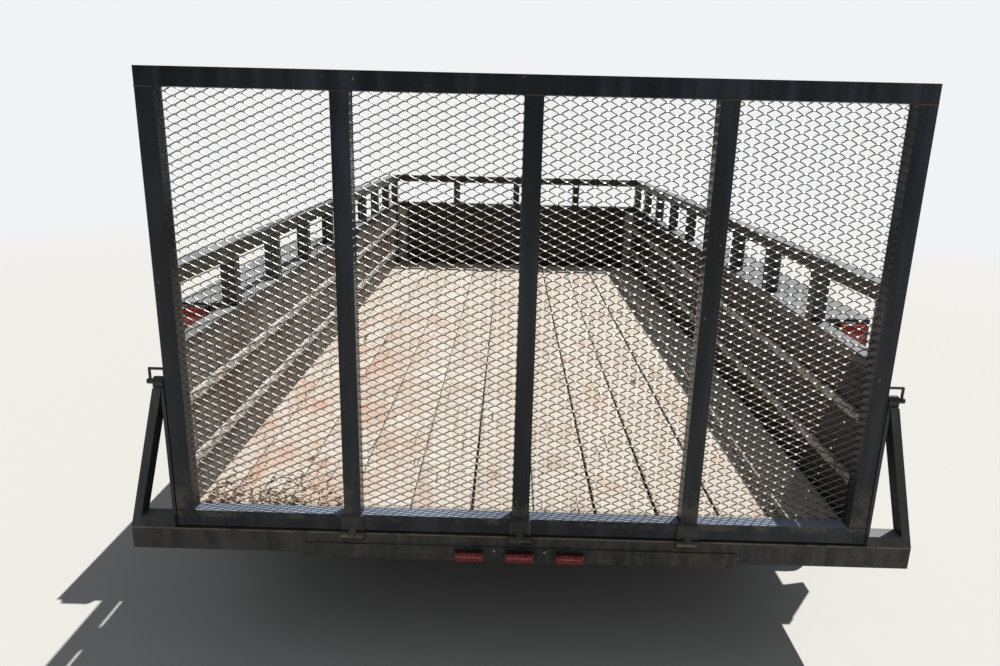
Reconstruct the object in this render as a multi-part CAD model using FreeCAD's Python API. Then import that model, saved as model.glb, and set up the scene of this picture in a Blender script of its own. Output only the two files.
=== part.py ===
"""Tandem-axle utility trailer with a full-width mesh ramp gate, in millimetres.

+Y points forward to the coupler, +X to the right seen from behind, +Z up.
The origin is on the ground, under the middle of the trailer's length and width.
"""
import FreeCAD
import Part
import math
import os

from FreeCAD import Vector

# Bed
bed_length = 4270.0
bed_inner_width = 1990.0
deck_height = 506.0
plank_thickness = 36.0
plank_width = 184.0
plank_gap = 6.0
tube = 50.0
sheet = 3.0

# Chassis
rail_height = 102.0
rail_wall = 6.0
cross_member_count = 9
cross_member_height = 76.0
cross_member_width = 40.0
sill_width = 2330.0
sill_height = 70.0
sill_wall = 5.0
sill_drop = 10.0

# Heights above the underside of the planks
top_rail_top = 767.0
mid_rail_top = 546.0
mid_rail_height = 38.0
upper_rib_top = 386.0
lower_rib_top = 190.0
rib_height = 28.0
rib_depth = 14.0

# Walls
side_bay_count = 9
front_bay_count = 4
gate_gap = 10.0

# Ramp gate
gate_width = 2044.0
gate_height = 1300.0
gate_bar_count = 3
mesh_thickness = 3.0
mesh_strand = 9.0
mesh_cell_width = 149.5
mesh_cell_height = 85.0
hinge_strap_width = 64.0
hinge_strap_height = 46.0
hinge_strap_thickness = 6.0
hinge_barrel_radius = 11.0
hinge_pin_radius = 6.0
hinge_pin_clearance = 0.5
hinge_knuckle_length = 22.0
hinge_play = 1.0
hinge_setback = 12.0

# Leaning gate braces and their spring latches
brace_top_height = 430.0
brace_top_offset = 24.0
brace_width = 25.0
brace_depth = 50.0
brace_foot_height = 34.0
brace_leg_gap = 6.0
brace_leg_thickness = 10.0
brace_leg_inset = 5.0
latch_barrel_radius = 15.0
latch_barrel_length = 30.0
latch_pin_radius = 8.0
latch_pin_length = 52.0
latch_pin_retreat = 7.0
latch_wire_radius = 4.0
latch_grip_height = 38.0

# Lamps
lamp_bar_length = 1300.0
lamp_bar_height = 46.0
lamp_bar_thickness = 5.0
lamp_corner = 5.0
id_lamp_pitch = 151.0
id_lamp_width = 90.0
id_lamp_height = 31.0
id_lamp_depth = 22.0
tail_lamp_width = 112.0
tail_lamp_height = 96.0
tail_lamp_depth = 30.0
tail_lamp_inset = 10.0

# Running gear; tyre_wall and tyre_shoulder pair a share of the half width with a height above the
# rim or a depth below the tread
wheel_radius = 360.0
tyre_width = 210.0
tyre_wall = ((0.96, 42.0), (1.0, 80.0))
tyre_shoulder = ((0.93, 34.0), (0.80, 8.0), (0.58, 0.0))
tyre_gap = 16.0
rim_radius = 196.0
rim_wall = 7.0
rim_width = 160.0
rim_flange_height = 12.0
rim_flange_thickness = 8.0
bead_clearance = 0.4
dish_offset = 18.0
dish_thickness = 8.0
hand_hole_count = 8
hand_hole_radius = 21.0
hand_hole_circle = 146.0
dish_bore_radius = 38.5
dish_seat_radius = 93.0
dish_crown_radius = 129.0
dish_crown_rise = 22.0
dish_rim_drop = 4.0
dish_rim_land = 8.0
hub_barrel_radius = 37.2
hub_barrel_length = 69.0
hub_flange_radius = 88.0
hub_flange_thickness = 12.0
hub_nose = 34.0
hub_bore_radius = 22.0
hub_clearance = 0.6
hub_bore_end = 54.0
grease_cap_radius = 32.0
grease_cap_length = 18.0
grease_cap_round = 6.0
stud_radius = 7.0
stud_circle = 70.0
nut_radius = 12.0
nut_height = 18.0
lug_nut_count = 6
axle_spacing = 864.0
axle_centre_from_rear = 1560.0
axle_tube_radius = 38.0
axle_drop = 102.0
arm_thickness = 26.0
arm_play = 4.0
spindle_end_inset = 59.0
spring_half_length = 318.0
spring_sag = 55.0
leaf_thickness = 10.0
leaf_width = 38.0
leaf_shares = (1.0, 0.72, 0.44)
spring_inset = 30.0
spring_eye_radius = 17.0
spring_pin_radius = 8.0
pin_clearance = 0.3
cheek_thickness = 6.0
cheek_gap = 1.0
cheek_foot_half = 48.0
cheek_tip_half = 20.0
cheek_tip_drop = 18.0
equalizer_half_length = 104.0
equalizer_drop = 36.0
equalizer_web = 22.0
equalizer_crown = 20.0
equalizer_crown_half = 30.0
equalizer_shoulder = 6.0
equalizer_toe = 24.0
equalizer_toe_drop = 29.0
equalizer_belly_drop = 16.0
shackle_half_width = 14.0
shackle_pin_drop = 22.0
shackle_pin_proud = 3.6
clamp_wire = 6.0
clamp_plate = 9.0
clamp_thread = 20.0

# Fenders
fender_top_above_planks = 515.0
fender_rear_from_gate = 705.0
fender_overhang = 42.0
fender_wall = 3.0
fender_margin = 16.0
fender_end_depth = 400.0
fender_skirt_depth = 150.0
fender_skirt_slope = 150.0
fender_skirt_foot = 60.0

# Tongue, coupler and jack
tongue_length = 1250.0
tongue_half_angle = 25.0
tongue_rail_width = 45.0
tongue_rail_gap = 4.0
apex_behind_nose = 165.0
coupler_width = 96.0
coupler_length = 300.0
coupler_neck = 120.0
coupler_height = 78.0
coupler_wall = 6.0
coupler_round = 9.0
coupler_dome_radius = 38.0
coupler_dome_rise = 15.0
ball_radius = 25.4
ball_clearance = 0.4
socket_depth = 34.0
socket_housing = 14.0
latch_setback = 150.0
latch_width = 18.0
latch_ear = 6.0
latch_ear_length = 36.0
latch_ear_height = 30.0
latch_pivot_radius = 5.0
latch_lever_length = 108.0
latch_lever_rise = 24.0
latch_lever_thickness = 11.0
jack_set_back = 420.0
jack_housing_radius = 30.0
jack_leg_radius = 25.0
jack_slide_clearance = 0.5
jack_top_wall = 12.0
jack_head_radius = 34.0
jack_head_height = 58.0
jack_head_round = 6.0
jack_boss_radius = 15.0
jack_boss_length = 14.0
jack_collar_radius = 44.0
jack_collar_height = 14.0
jack_plate_half_length = 60.0
jack_plate_edge = 6.0
jack_housing_above = 330.0
jack_housing_below = 90.0
jack_leg_overlap = 240.0
jack_foot_radius = 70.0
jack_foot_thickness = 6.0
jack_crank_reach = 150.0
jack_crank_offset = 26.0
jack_crank_shaft_radius = 8.0
jack_crank_bar = 26.0
jack_crank_thickness = 6.0
jack_grip_radius = 11.0
jack_grip_length = 84.0
jack_plate_thickness = 10.0
chain_link_length = 46.0
chain_link_width = 30.0
chain_wire = 7.0
chain_link_play = 3.6
chain_span = 300.0
chain_facet_angle = 45
chain_sag = 126.0
chain_start = 310.0
chain_beside_rail = 22.0

# Worked out from the sizes above
planks_under = deck_height - plank_thickness
inner_x = bed_inner_width / 2
sheet_x = inner_x + sheet
outer_x = sheet_x + tube
lamp_reach = lamp_bar_thickness + id_lamp_depth
bed_end = tube + gate_gap + bed_length + sheet + tube
overall_length = lamp_reach + bed_end + tongue_length
gate_rear = lamp_reach - overall_length / 2
bed_rear = gate_rear + tube + gate_gap
bed_front = gate_rear + bed_end - tube
frame_front = gate_rear + bed_end
nose = frame_front + tongue_length
rail_bottom = planks_under - rail_height
axle_centre = gate_rear + axle_centre_from_rear
tyre_inner_x = outer_x + tyre_gap
tyre_outer_x = tyre_inner_x + tyre_width
tyre_middle_x = (tyre_inner_x + tyre_outer_x) / 2
chain_pitch = chain_link_length - 2 * chain_wire - chain_link_play
hinge_y = gate_rear - hinge_setback
hinge_z = planks_under - hinge_setback

touch = 0.01

UP = Vector(0, 0, 1)
RIGHT = Vector(1, 0, 0)

nodes = {}


def box(x0, x1, y0, y1, z0, z1):
    return Part.makeBox(x1 - x0, y1 - y0, z1 - z0, Vector(x0, y0, z0))


def rod(radius, start, end):
    run = end - start
    return Part.makeCylinder(radius, run.Length, start, run)


def pipe(outer, inner, start, end):
    return rod(outer, start, end).cut(rod(inner, start, end))


def plate(points, thickness_vector):
    """Closed polygon pushed along a vector."""
    wire = Part.makePolygon(points + [points[0]])
    return Part.Face(wire).extrude(thickness_vector)


def pierced(wires):
    """Flat face whose first outline holds all the others as holes."""
    return Part.makeFace(wires, "Part::FaceMakerBullseye")


def fuse(shapes):
    return shapes[0].multiFuse(shapes[1:]).removeSplitter()


def mirrored(shape):
    return shape.mirror(Vector(0, 0, 0), RIGHT)


def both_sides(shapes):
    return shapes + [mirrored(s) for s in shapes]


def save(name, shapes):
    nodes[name] = shapes


def save_sides(name, shapes):
    """The right-hand piece and its mirror on the left."""
    save(name + "_right", shapes)
    save(name + "_left", [mirrored(s) for s in shapes])


def channel(y0, y1, web_x, flange_x, z0, z1, wall):
    """C section along Y, with its web on web_x and its flanges out to flange_x."""
    side = 1 if flange_x > web_x else -1
    points = [(web_x, z0), (flange_x, z0), (flange_x, z0 + wall), (web_x + side * wall, z0 + wall),
              (web_x + side * wall, z1 - wall), (flange_x, z1 - wall), (flange_x, z1), (web_x, z1)]
    return plate([Vector(x, y0, z) for x, z in points], Vector(0, y1 - y0, 0))


def cross_channel(x0, x1, web_y, flange_y, z0, z1, wall):
    """C section along X, with its web on web_y and its flanges out to flange_y."""
    side = 1 if flange_y > web_y else -1
    points = [(web_y, z0), (flange_y, z0), (flange_y, z0 + wall), (web_y + side * wall, z0 + wall),
              (web_y + side * wall, z1 - wall), (flange_y, z1 - wall), (flange_y, z1), (web_y, z1)]
    return plate([Vector(x0, y, z) for y, z in points], Vector(x1 - x0, 0, 0))


def chassis():
    save_sides("main_rail", [channel(gate_rear + tube, frame_front, sheet_x, outer_x,
                                     rail_bottom, planks_under, rail_wall)])
    sill_top = planks_under - sill_drop
    sill = cross_channel(-sill_width / 2, sill_width / 2, gate_rear, gate_rear + tube,
                         sill_top - sill_height, sill_top, sill_wall)
    caps = both_sides([box(sill_width / 2 - sill_wall, sill_width / 2, gate_rear, gate_rear + tube,
                           sill_top - sill_height, sill_top)])
    save("rear_sill", [fuse([sill] + caps)])
    save("front_beam", [cross_channel(-sheet_x, sheet_x, frame_front, frame_front - tube,
                                      rail_bottom, planks_under, rail_wall)])
    first = gate_rear + tube + cross_member_width
    last = frame_front - tube - cross_member_width
    pitch = (last - first) / cross_member_count
    members = []
    for i in range(cross_member_count):
        y = first + (i + 0.5) * pitch
        members.append(cross_channel(-sheet_x, sheet_x, y, y + cross_member_width,
                                     planks_under - cross_member_height, planks_under, rail_wall))
    save("cross_members", members)


def deck():
    pitch = plank_width + plank_gap
    planks = []
    right = inner_x - plank_gap
    while right > -inner_x + plank_gap:
        left = max(right - plank_width, -inner_x)
        planks.append(box(left, right, bed_rear, bed_front - sheet, planks_under, deck_height))
        right -= pitch
    save("deck_planks", planks)


def side_walls():
    rear, front = bed_rear, frame_front
    rail_z = planks_under + top_rail_top
    mid_z = planks_under + mid_rail_top
    save_sides("top_rail", [box(sheet_x, outer_x, rear, front, rail_z - tube, rail_z)])
    save_sides("mid_rail", [box(inner_x, outer_x, rear, front, mid_z - mid_rail_height, mid_z)])
    pitch = (front - rear - tube) / side_bay_count
    posts = []
    for i in range(side_bay_count + 1):
        y = rear + i * pitch
        posts.append(box(sheet_x, outer_x, y, y + tube, planks_under, mid_z - mid_rail_height))
        posts.append(box(sheet_x, outer_x, y, y + tube, mid_z, rail_z - tube))
    save_sides("side_posts", posts)
    panel = [box(inner_x, sheet_x, rear, bed_front, planks_under, mid_z - mid_rail_height)]
    for rib_top in (upper_rib_top, lower_rib_top):
        z = planks_under + rib_top
        panel.append(box(inner_x - rib_depth, inner_x, rear, bed_front - sheet, z - rib_height, z))
    save_sides("side_panel", [fuse(panel)])


def front_wall():
    y0, y1 = bed_front, frame_front
    rail_z = planks_under + top_rail_top
    mid_z = planks_under + mid_rail_top
    save("front_top_rail", [box(-sheet_x, sheet_x, y0, y1, rail_z - tube, rail_z)])
    save("front_mid_rail", [box(-inner_x, inner_x, y0 - sheet, y1, mid_z - mid_rail_height, mid_z)])
    pitch = 2 * sheet_x / front_bay_count
    posts = []
    for i in range(1, front_bay_count):
        x = -sheet_x + i * pitch
        posts.append(box(x - tube / 2, x + tube / 2, y0, y1, planks_under, mid_z - mid_rail_height))
        posts.append(box(x - tube / 2, x + tube / 2, y0, y1, mid_z, rail_z - tube))
    save("front_posts", posts)
    panel = [box(-inner_x, inner_x, y0 - sheet, y0, planks_under, mid_z - mid_rail_height)]
    for rib_top in (upper_rib_top, lower_rib_top):
        z = planks_under + rib_top
        inset = inner_x - rib_depth - sheet
        panel.append(box(-inset, inset, y0 - sheet - rib_depth, y0 - sheet, z - rib_height, z))
    save("front_panel", [fuse(panel)])


def clipped(points, x0, x1, z0, z1):
    """A convex outline in (x, z), cut back to a rectangle."""
    limits = ((0, x0, 1), (0, x1, -1), (1, z0, 1), (1, z1, -1))
    for axis, limit, sign in limits:
        kept = []
        for i, b in enumerate(points):
            a = points[i - 1]
            da, db = sign * (a[axis] - limit), sign * (b[axis] - limit)
            if (da < 0) != (db < 0):
                t = da / (da - db)
                kept.append((a[0] + t * (b[0] - a[0]), a[1] + t * (b[1] - a[1])))
            if db >= 0:
                kept.append(b)
        points = kept
    return points


def area(points):
    turns = zip(points, points[1:] + points[:1])
    return abs(sum(a[0] * b[1] - b[0] * a[1] for a, b in turns)) / 2


def mesh_bay(x0, x1, z0, z1, y):
    """Expanded-metal bay: one sheet with staggered diamonds cut through it."""
    border = mesh_strand / 2
    half_w = mesh_cell_width / 2 - mesh_strand
    half_h = mesh_cell_height / 2 - mesh_strand / 2
    smallest = half_w * half_h / 3
    middle = (x0 + x1) / 2
    columns = math.ceil((x1 - x0) / mesh_cell_width)
    rows = math.ceil(2 * (z1 - z0) / mesh_cell_height)
    wires = [Part.makePolygon([Vector(x, y, z) for x, z in
                               ((x0, z0), (x1, z0), (x1, z1), (x0, z1), (x0, z0))])]
    for row in range(rows + 1):
        z = z0 + row * mesh_cell_height / 2
        shift = 0.5 * (row % 2)
        for column in range(-columns, columns + 1):
            x = middle + (column + shift) * mesh_cell_width
            diamond = [(x - half_w, z), (x, z - half_h), (x + half_w, z), (x, z + half_h)]
            hole = clipped(diamond, x0 + border, x1 - border, z0 + border, z1 - border)
            if len(hole) < 3 or area(hole) < smallest:
                continue
            corners = [Vector(px, y, pz) for px, pz in hole]
            wires.append(Part.makePolygon(corners + [corners[0]]))
    return pierced(wires).extrude(Vector(0, mesh_thickness, 0))


def hinge_stations():
    pitch = (gate_width - tube) / (gate_bar_count + 1)
    return [-(gate_width - tube) / 2 + (i + 1) * pitch for i in range(gate_bar_count)]


def ramp_gate():
    x = gate_width / 2
    y0, y1 = gate_rear, gate_rear + tube - mesh_thickness
    z0, z1 = planks_under, planks_under + gate_height
    save("gate_top_rail", [box(-x, x, y0, y1, z1 - tube, z1)])
    save("gate_bottom_rail", [box(-x, x, y0, y1, z0, z0 + tube)])
    save("gate_stiles", both_sides([box(x - tube, x, y0, y1, z0 + tube, z1 - tube)]))
    bars = hinge_stations()
    save("gate_bars", [box(b - tube / 2, b + tube / 2, y0, y1, z0 + tube, z1 - tube) for b in bars])
    edges = [-x + tube / 2] + bars + [x - tube / 2]
    bays = [mesh_bay(a + hinge_play / 2, b - hinge_play / 2, z0 + tube / 2, z1 - tube / 2, y1)
            for a, b in zip(edges, edges[1:])]
    save("gate_mesh", bays)
    save("gate_hinges", [gate_hinge(b) for b in bars])
    save("sill_hinges", [part for b in bars for part in sill_hinge(b)])


def gate_hinge(x):
    """Strap on the gate's rear face with the middle knuckle of its hinge."""
    half = hinge_knuckle_length / 2
    strap = box(x - hinge_strap_width / 2, x + hinge_strap_width / 2,
                gate_rear - hinge_strap_thickness, gate_rear, planks_under, planks_under + hinge_strap_height)
    tongue = plate([Vector(x - half, y, z) for y, z in
                    ((gate_rear, planks_under), (gate_rear, planks_under + hinge_setback),
                     (hinge_y - hinge_barrel_radius / 2, planks_under), (hinge_y, hinge_z))],
                   Vector(2 * half, 0, 0))
    barrel = rod(hinge_barrel_radius, Vector(x - half, hinge_y, hinge_z), Vector(x + half, hinge_y, hinge_z))
    bore = rod(hinge_pin_radius + hinge_pin_clearance, Vector(x - half, hinge_y, hinge_z),
               Vector(x + half, hinge_y, hinge_z))
    return fuse([strap, tongue, barrel]).cut(bore)


def sill_hinge(x):
    """Two outer knuckles welded to the sill, and the pin through all three."""
    inner = hinge_knuckle_length / 2 + hinge_play
    outer = inner + hinge_knuckle_length
    shoe_bottom = hinge_z - 2 * hinge_barrel_radius
    knuckles = []
    for side in (-1, 1):
        a, b = sorted((x + side * inner, x + side * outer))
        barrel = rod(hinge_barrel_radius, Vector(a, hinge_y, hinge_z), Vector(b, hinge_y, hinge_z))
        half_barrel = hinge_barrel_radius / 2
        outline = ((gate_rear, hinge_z), (gate_rear, shoe_bottom),
                   (hinge_y - half_barrel, hinge_z - half_barrel), (hinge_y, hinge_z))
        shoe = plate([Vector(a, y, z) for y, z in outline], Vector(b - a, 0, 0))
        knuckles.append(fuse([barrel, shoe]))
    pin = rod(hinge_pin_radius, Vector(x - outer, hinge_y, hinge_z), Vector(x + outer, hinge_y, hinge_z))
    return [fuse(knuckles + [pin])]


def gate_braces():
    """Leaning post from each end of the sill up to the latch, and a flat leg down beside the gate."""
    foot_z = planks_under - sill_drop
    top_z = planks_under + brace_top_height
    foot_x = sill_width / 2
    top_x = gate_width / 2 + brace_top_offset + brace_width / 2
    y = gate_rear
    outline = ((foot_x - brace_width, foot_z), (foot_x, foot_z),
               (top_x, top_z), (top_x - brace_width, top_z))
    post = plate([Vector(px, y, pz) for px, pz in outline], Vector(0, brace_depth, 0))
    foot = box(gate_width / 2 + gate_gap, foot_x - brace_width / 2, y, y + brace_depth,
               foot_z, foot_z + brace_foot_height)
    leg_x = gate_width / 2 + brace_leg_gap
    leg = box(leg_x, leg_x + brace_leg_thickness, y + brace_leg_inset, y + brace_depth - brace_leg_inset,
              foot_z, top_z)
    save_sides("gate_brace", [fuse([post, foot, leg])])
    axis_z = top_z + latch_barrel_radius
    start = gate_width / 2 + latch_pin_retreat
    barrel_start = top_x - brace_width / 2 - latch_barrel_length / 2
    middle_y = y + brace_depth / 2
    barrel = pipe(latch_barrel_radius, latch_pin_radius, Vector(barrel_start, middle_y, axis_z),
                  Vector(barrel_start + latch_barrel_length, middle_y, axis_z))
    saddle = box(barrel_start, barrel_start + latch_barrel_length, middle_y - latch_barrel_radius,
                 middle_y + latch_barrel_radius, top_z, axis_z).cut(
        rod(latch_pin_radius, Vector(barrel_start, middle_y, axis_z),
            Vector(barrel_start + latch_barrel_length, middle_y, axis_z)))
    pin_end = start + latch_pin_length
    pin = rod(latch_pin_radius, Vector(start, middle_y, axis_z), Vector(pin_end, middle_y, axis_z))
    grip_x = pin_end - 2 * latch_wire_radius
    grip_top = axis_z + latch_grip_height
    corners = [Vector(grip_x, middle_y, axis_z), Vector(grip_x, middle_y, grip_top),
               Vector(barrel_start, middle_y, grip_top), Vector(barrel_start, middle_y, axis_z)]
    grip = [rod(latch_wire_radius, a, b) for a, b in zip(corners, corners[1:])]
    joints = [Part.makeSphere(latch_wire_radius, c) for c in corners[1:3]]
    save_sides("gate_latch", [fuse([barrel, saddle, pin] + grip + joints)])


def rear_lamps():
    z1 = planks_under - sill_drop - sill_height / 2
    z0 = z1 - lamp_bar_height
    y = gate_rear
    half = lamp_bar_length / 2
    save("lamp_bar", [box(-half, half, y - lamp_bar_thickness, y, z0, z1)])
    middle = (z0 + z1) / 2
    lamps = []
    for i in (-1, 0, 1):
        x = i * id_lamp_pitch
        lens = box(x - id_lamp_width / 2, x + id_lamp_width / 2, y - lamp_reach, y - lamp_bar_thickness,
                   middle - id_lamp_height / 2, middle + id_lamp_height / 2)
        upright = [e for e in lens.Edges if e.BoundBox.YMin < y - lamp_reach + touch
                   or e.BoundBox.YLength > id_lamp_depth / 2]
        lamps.append(lens.makeFillet(lamp_corner, upright))
    save("id_lamps", lamps)


def axle(y):
    """Dropped tube with an arm up to the spindle at each end."""
    spindle_z = wheel_radius
    tube_z = spindle_z - axle_drop
    arm_x = outer_x + arm_play
    tube_part = rod(axle_tube_radius, Vector(-arm_x, y, tube_z), Vector(arm_x, y, tube_z))
    pieces = [tube_part]
    for side in (-1, 1):
        a, b = side * arm_x, side * (arm_x + arm_thickness)
        low = rod(axle_tube_radius, Vector(a, y, tube_z), Vector(b, y, tube_z))
        high = rod(axle_tube_radius, Vector(a, y, spindle_z), Vector(b, y, spindle_z))
        x0, x1 = sorted((a, b))
        arm = box(x0, x1, y - axle_tube_radius, y + axle_tube_radius, tube_z, spindle_z)
        end = side * (tyre_outer_x - spindle_end_inset)
        spindle = rod(hub_bore_radius - hub_clearance, Vector(b, y, spindle_z), Vector(end, y, spindle_z))
        pieces += [low, high, arm, spindle]
    return fuse(pieces)


def arc_strip(y, z_low, half_length, radius, thickness, x0, x1):
    """Leaf bent to a radius, lowest at y, ends up, its upper face through z_low."""
    centre_z = z_low + radius
    half_angle = math.asin(half_length / radius)

    def on_arc(r, angle):
        return Vector(x0, y + r * math.sin(angle), centre_z - r * math.cos(angle))

    outer = radius + thickness
    a, b, c = (on_arc(radius, t) for t in (-half_angle, 0, half_angle))
    d, e, f = (on_arc(outer, t) for t in (half_angle, 0, -half_angle))
    wire = Part.Wire([Part.Arc(a, b, c).toShape(), Part.LineSegment(c, d).toShape(),
                      Part.Arc(d, e, f).toShape(), Part.LineSegment(f, a).toShape()])
    return Part.Face(wire).extrude(Vector(x1 - x0, 0, 0))


def suspension():
    """Underslung leaf springs, their hangers, the equalizers and the axle clamps."""
    x = outer_x - spring_inset
    tube_z = wheel_radius - axle_drop
    seat_z = tube_z - axle_tube_radius
    eye_z = seat_z + spring_sag + spring_eye_radius / 2
    springs, clamps, hangers = [], [], []
    for side in (-1, 1):
        y = axle_centre + side * axle_spacing / 2
        springs.append(leaf_spring(x, y, seat_z, eye_z))
        clamps.append(clamp(x, y, seat_z - len(leaf_shares) * leaf_thickness, tube_z))
        hangers.append(hanger(x, y + side * spring_half_length, eye_z))
    pivot_z = rail_bottom - equalizer_drop
    hangers.append(hanger(x, axle_centre, pivot_z))
    save("leaf_springs", both_sides(springs))
    save("axle_clamps", both_sides(clamps))
    save("spring_hangers", both_sides(hangers))
    save("equalizers", both_sides([equalizer(x, pivot_z, eye_z)]))


def cross_pin(x, y, z, half_length, radius=spring_pin_radius):
    return rod(radius, Vector(x - half_length, y, z), Vector(x + half_length, y, z))


def leaf_spring(x, y, seat_z, eye_z):
    """Three leaves of falling length, with a bored eye at each end of the longest."""
    x0, x1 = x - leaf_width / 2, x + leaf_width / 2
    bend = (spring_half_length ** 2 + spring_sag ** 2) / (2 * spring_sag)
    leaves = [arc_strip(y, seat_z - i * leaf_thickness, spring_half_length * share,
                        bend + i * leaf_thickness, leaf_thickness, x0, x1)
              for i, share in enumerate(leaf_shares)]
    ends = [y - spring_half_length, y + spring_half_length]
    eyes = [cross_pin(x, e, eye_z, leaf_width / 2, spring_eye_radius) for e in ends]
    bores = [cross_pin(x, e, eye_z, leaf_width, spring_pin_radius + pin_clearance) for e in ends]
    return fuse(leaves + eyes).cut(Part.makeCompound(bores))


def clamp(x, y, low, tube_z):
    """U-bolts over the axle tube and the plate under the spring."""
    half_x = leaf_width / 2 + clamp_wire
    half_y = axle_tube_radius + clamp_wire
    edge_x = half_x + clamp_wire
    edge_y = half_y + 2 * clamp_wire
    parts = [box(x - edge_x, x + edge_x, y - edge_y, y + edge_y, low - clamp_plate, low)]
    for bx in (x - half_x, x + half_x):
        for leg_y in (y - half_y, y + half_y):
            parts.append(rod(clamp_wire, Vector(bx, leg_y, low - clamp_thread), Vector(bx, leg_y, tube_z)))
        ring = pipe(half_y + clamp_wire, half_y - clamp_wire, Vector(bx - clamp_wire, y, tube_z),
                    Vector(bx + clamp_wire, y, tube_z))
        upper = box(bx - clamp_wire, bx + clamp_wire, y - edge_y, y + edge_y, tube_z, tube_z + edge_y)
        parts.append(ring.common(upper))
    return fuse(parts)


def hanger(x, y, pin_z):
    """Two cheeks under the main rail, joined by the spring's pin."""
    tip_z = pin_z - cheek_tip_drop
    parts = []
    for side in (-1, 1):
        inner = x + side * (leaf_width / 2 + cheek_gap)
        a, b = sorted((inner, inner + side * cheek_thickness))
        outline = [Vector(a, y - cheek_foot_half, rail_bottom), Vector(a, y + cheek_foot_half, rail_bottom),
                   Vector(a, y + cheek_tip_half, tip_z), Vector(a, y - cheek_tip_half, tip_z)]
        parts.append(plate(outline, Vector(b - a, 0, 0)))
    parts.append(cross_pin(x, y, pin_z, leaf_width / 2 + cheek_gap + 2 * cheek_thickness))
    return fuse(parts)


def equalizer(x, pivot_z, eye_z):
    """Rocking beam between the two springs, with shackle straps down to their eyes."""
    half = equalizer_half_length
    toe_z = pivot_z - equalizer_toe_drop
    shoulder_z = pivot_z - equalizer_shoulder
    crown_z = pivot_z + equalizer_crown
    outline = [(-half - equalizer_toe, toe_z), (-half, shoulder_z), (-equalizer_crown_half, crown_z),
               (equalizer_crown_half, crown_z), (half, shoulder_z), (half + equalizer_toe, toe_z),
               (0, pivot_z - equalizer_belly_drop)]
    web = [Vector(x - equalizer_web / 2, axle_centre + dy, z) for dy, z in outline]
    beam = plate(web, Vector(equalizer_web, 0, 0))
    parts = [beam.cut(cross_pin(x, axle_centre, pivot_z, leaf_width, spring_pin_radius + pin_clearance))]
    pin_half = leaf_width / 2 + cheek_gap + cheek_thickness + shackle_pin_proud
    upper_pin_z = pivot_z - shackle_pin_drop
    for side in (-1, 1):
        y = axle_centre + side * (axle_spacing / 2 - spring_half_length)
        for edge in (-1, 1):
            inner = x + edge * (leaf_width / 2 + cheek_gap)
            a, b = sorted((inner, inner + edge * cheek_thickness))
            parts.append(box(a, b, y - shackle_half_width, y + shackle_half_width,
                             eye_z - shackle_half_width, upper_pin_z + shackle_half_width))
        parts += [cross_pin(x, y, z, pin_half) for z in (eye_z, upper_pin_z)]
    return fuse(parts)


def tyre(x, y):
    """Trailer tyre: beads inside the rim flanges, rounded side walls, flat tread."""
    half = tyre_width / 2
    bead = rim_width / 2 - rim_flange_thickness - bead_clearance
    z = wheel_radius
    profile = [(-bead, rim_radius), (-bead, rim_radius + rim_flange_height + bead_clearance)]
    profile += [(-half * share, rim_radius + rise) for share, rise in tyre_wall]
    profile += [(-half * share, wheel_radius - drop) for share, drop in tyre_shoulder]
    points = [Vector(x + a, y, z + b) for a, b in profile]
    points += [Vector(x - a, y, z + b) for a, b in reversed(profile)]
    wire = Part.makePolygon(points + [points[0]])
    return Part.Face(wire).revolve(Vector(x, y, z), RIGHT, 360)


def ring_of(radius, count, y, z, turn=0.0):
    """Centres (y, z) evenly spaced round a circle, the first one turned up by a share of the pitch."""
    angles = [2 * math.pi * (i + turn) / count for i in range(count)]
    return [(y + radius * math.sin(a), z + radius * math.cos(a)) for a in angles]


def rim(x, y, side):
    """Steel wheel: well with bead seats, and a dished disc with hand holes."""
    z = wheel_radius
    half = rim_width / 2
    seat = half - rim_flange_thickness
    lip = rim_radius + rim_flange_height
    bed = rim_radius - bead_clearance
    under = bed - rim_wall
    well = turned(x, y, side, [(-half, under), (-half, lip), (-seat, lip), (-seat, bed), (seat, bed),
                               (seat, lip), (half, lip), (half, under)])
    face = dish_offset
    back = face - dish_thickness
    rim_face = face - dish_rim_drop
    disc = turned(x, y, side, [(face, dish_bore_radius), (face, dish_seat_radius),
                               (face + dish_crown_rise, dish_crown_radius), (rim_face, under),
                               (rim_face - dish_rim_land, under), (back + dish_crown_rise, dish_crown_radius),
                               (back, dish_seat_radius), (back, dish_bore_radius)])
    holes = [rod(hand_hole_radius, Vector(x - half, py, pz), Vector(x + half, py, pz))
             for py, pz in ring_of(hand_hole_circle, hand_hole_count, y, z)]
    holes += [rod(stud_radius + bead_clearance, Vector(x - half, py, pz), Vector(x + half, py, pz))
              for py, pz in ring_of(stud_circle, lug_nut_count, y, z, 0.5)]
    return fuse([well, disc]).cut(Part.makeCompound(holes))


def turned(x, y, side, profile):
    """Revolves (outward from the wheel's middle, radius) pairs round the wheel's axis."""
    corners = [Vector(x + side * a, y, wheel_radius + r) for a, r in profile + profile[:1]]
    return Part.Face(Part.makePolygon(corners)).revolve(Vector(x, y, wheel_radius), RIGHT, 360)


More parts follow.
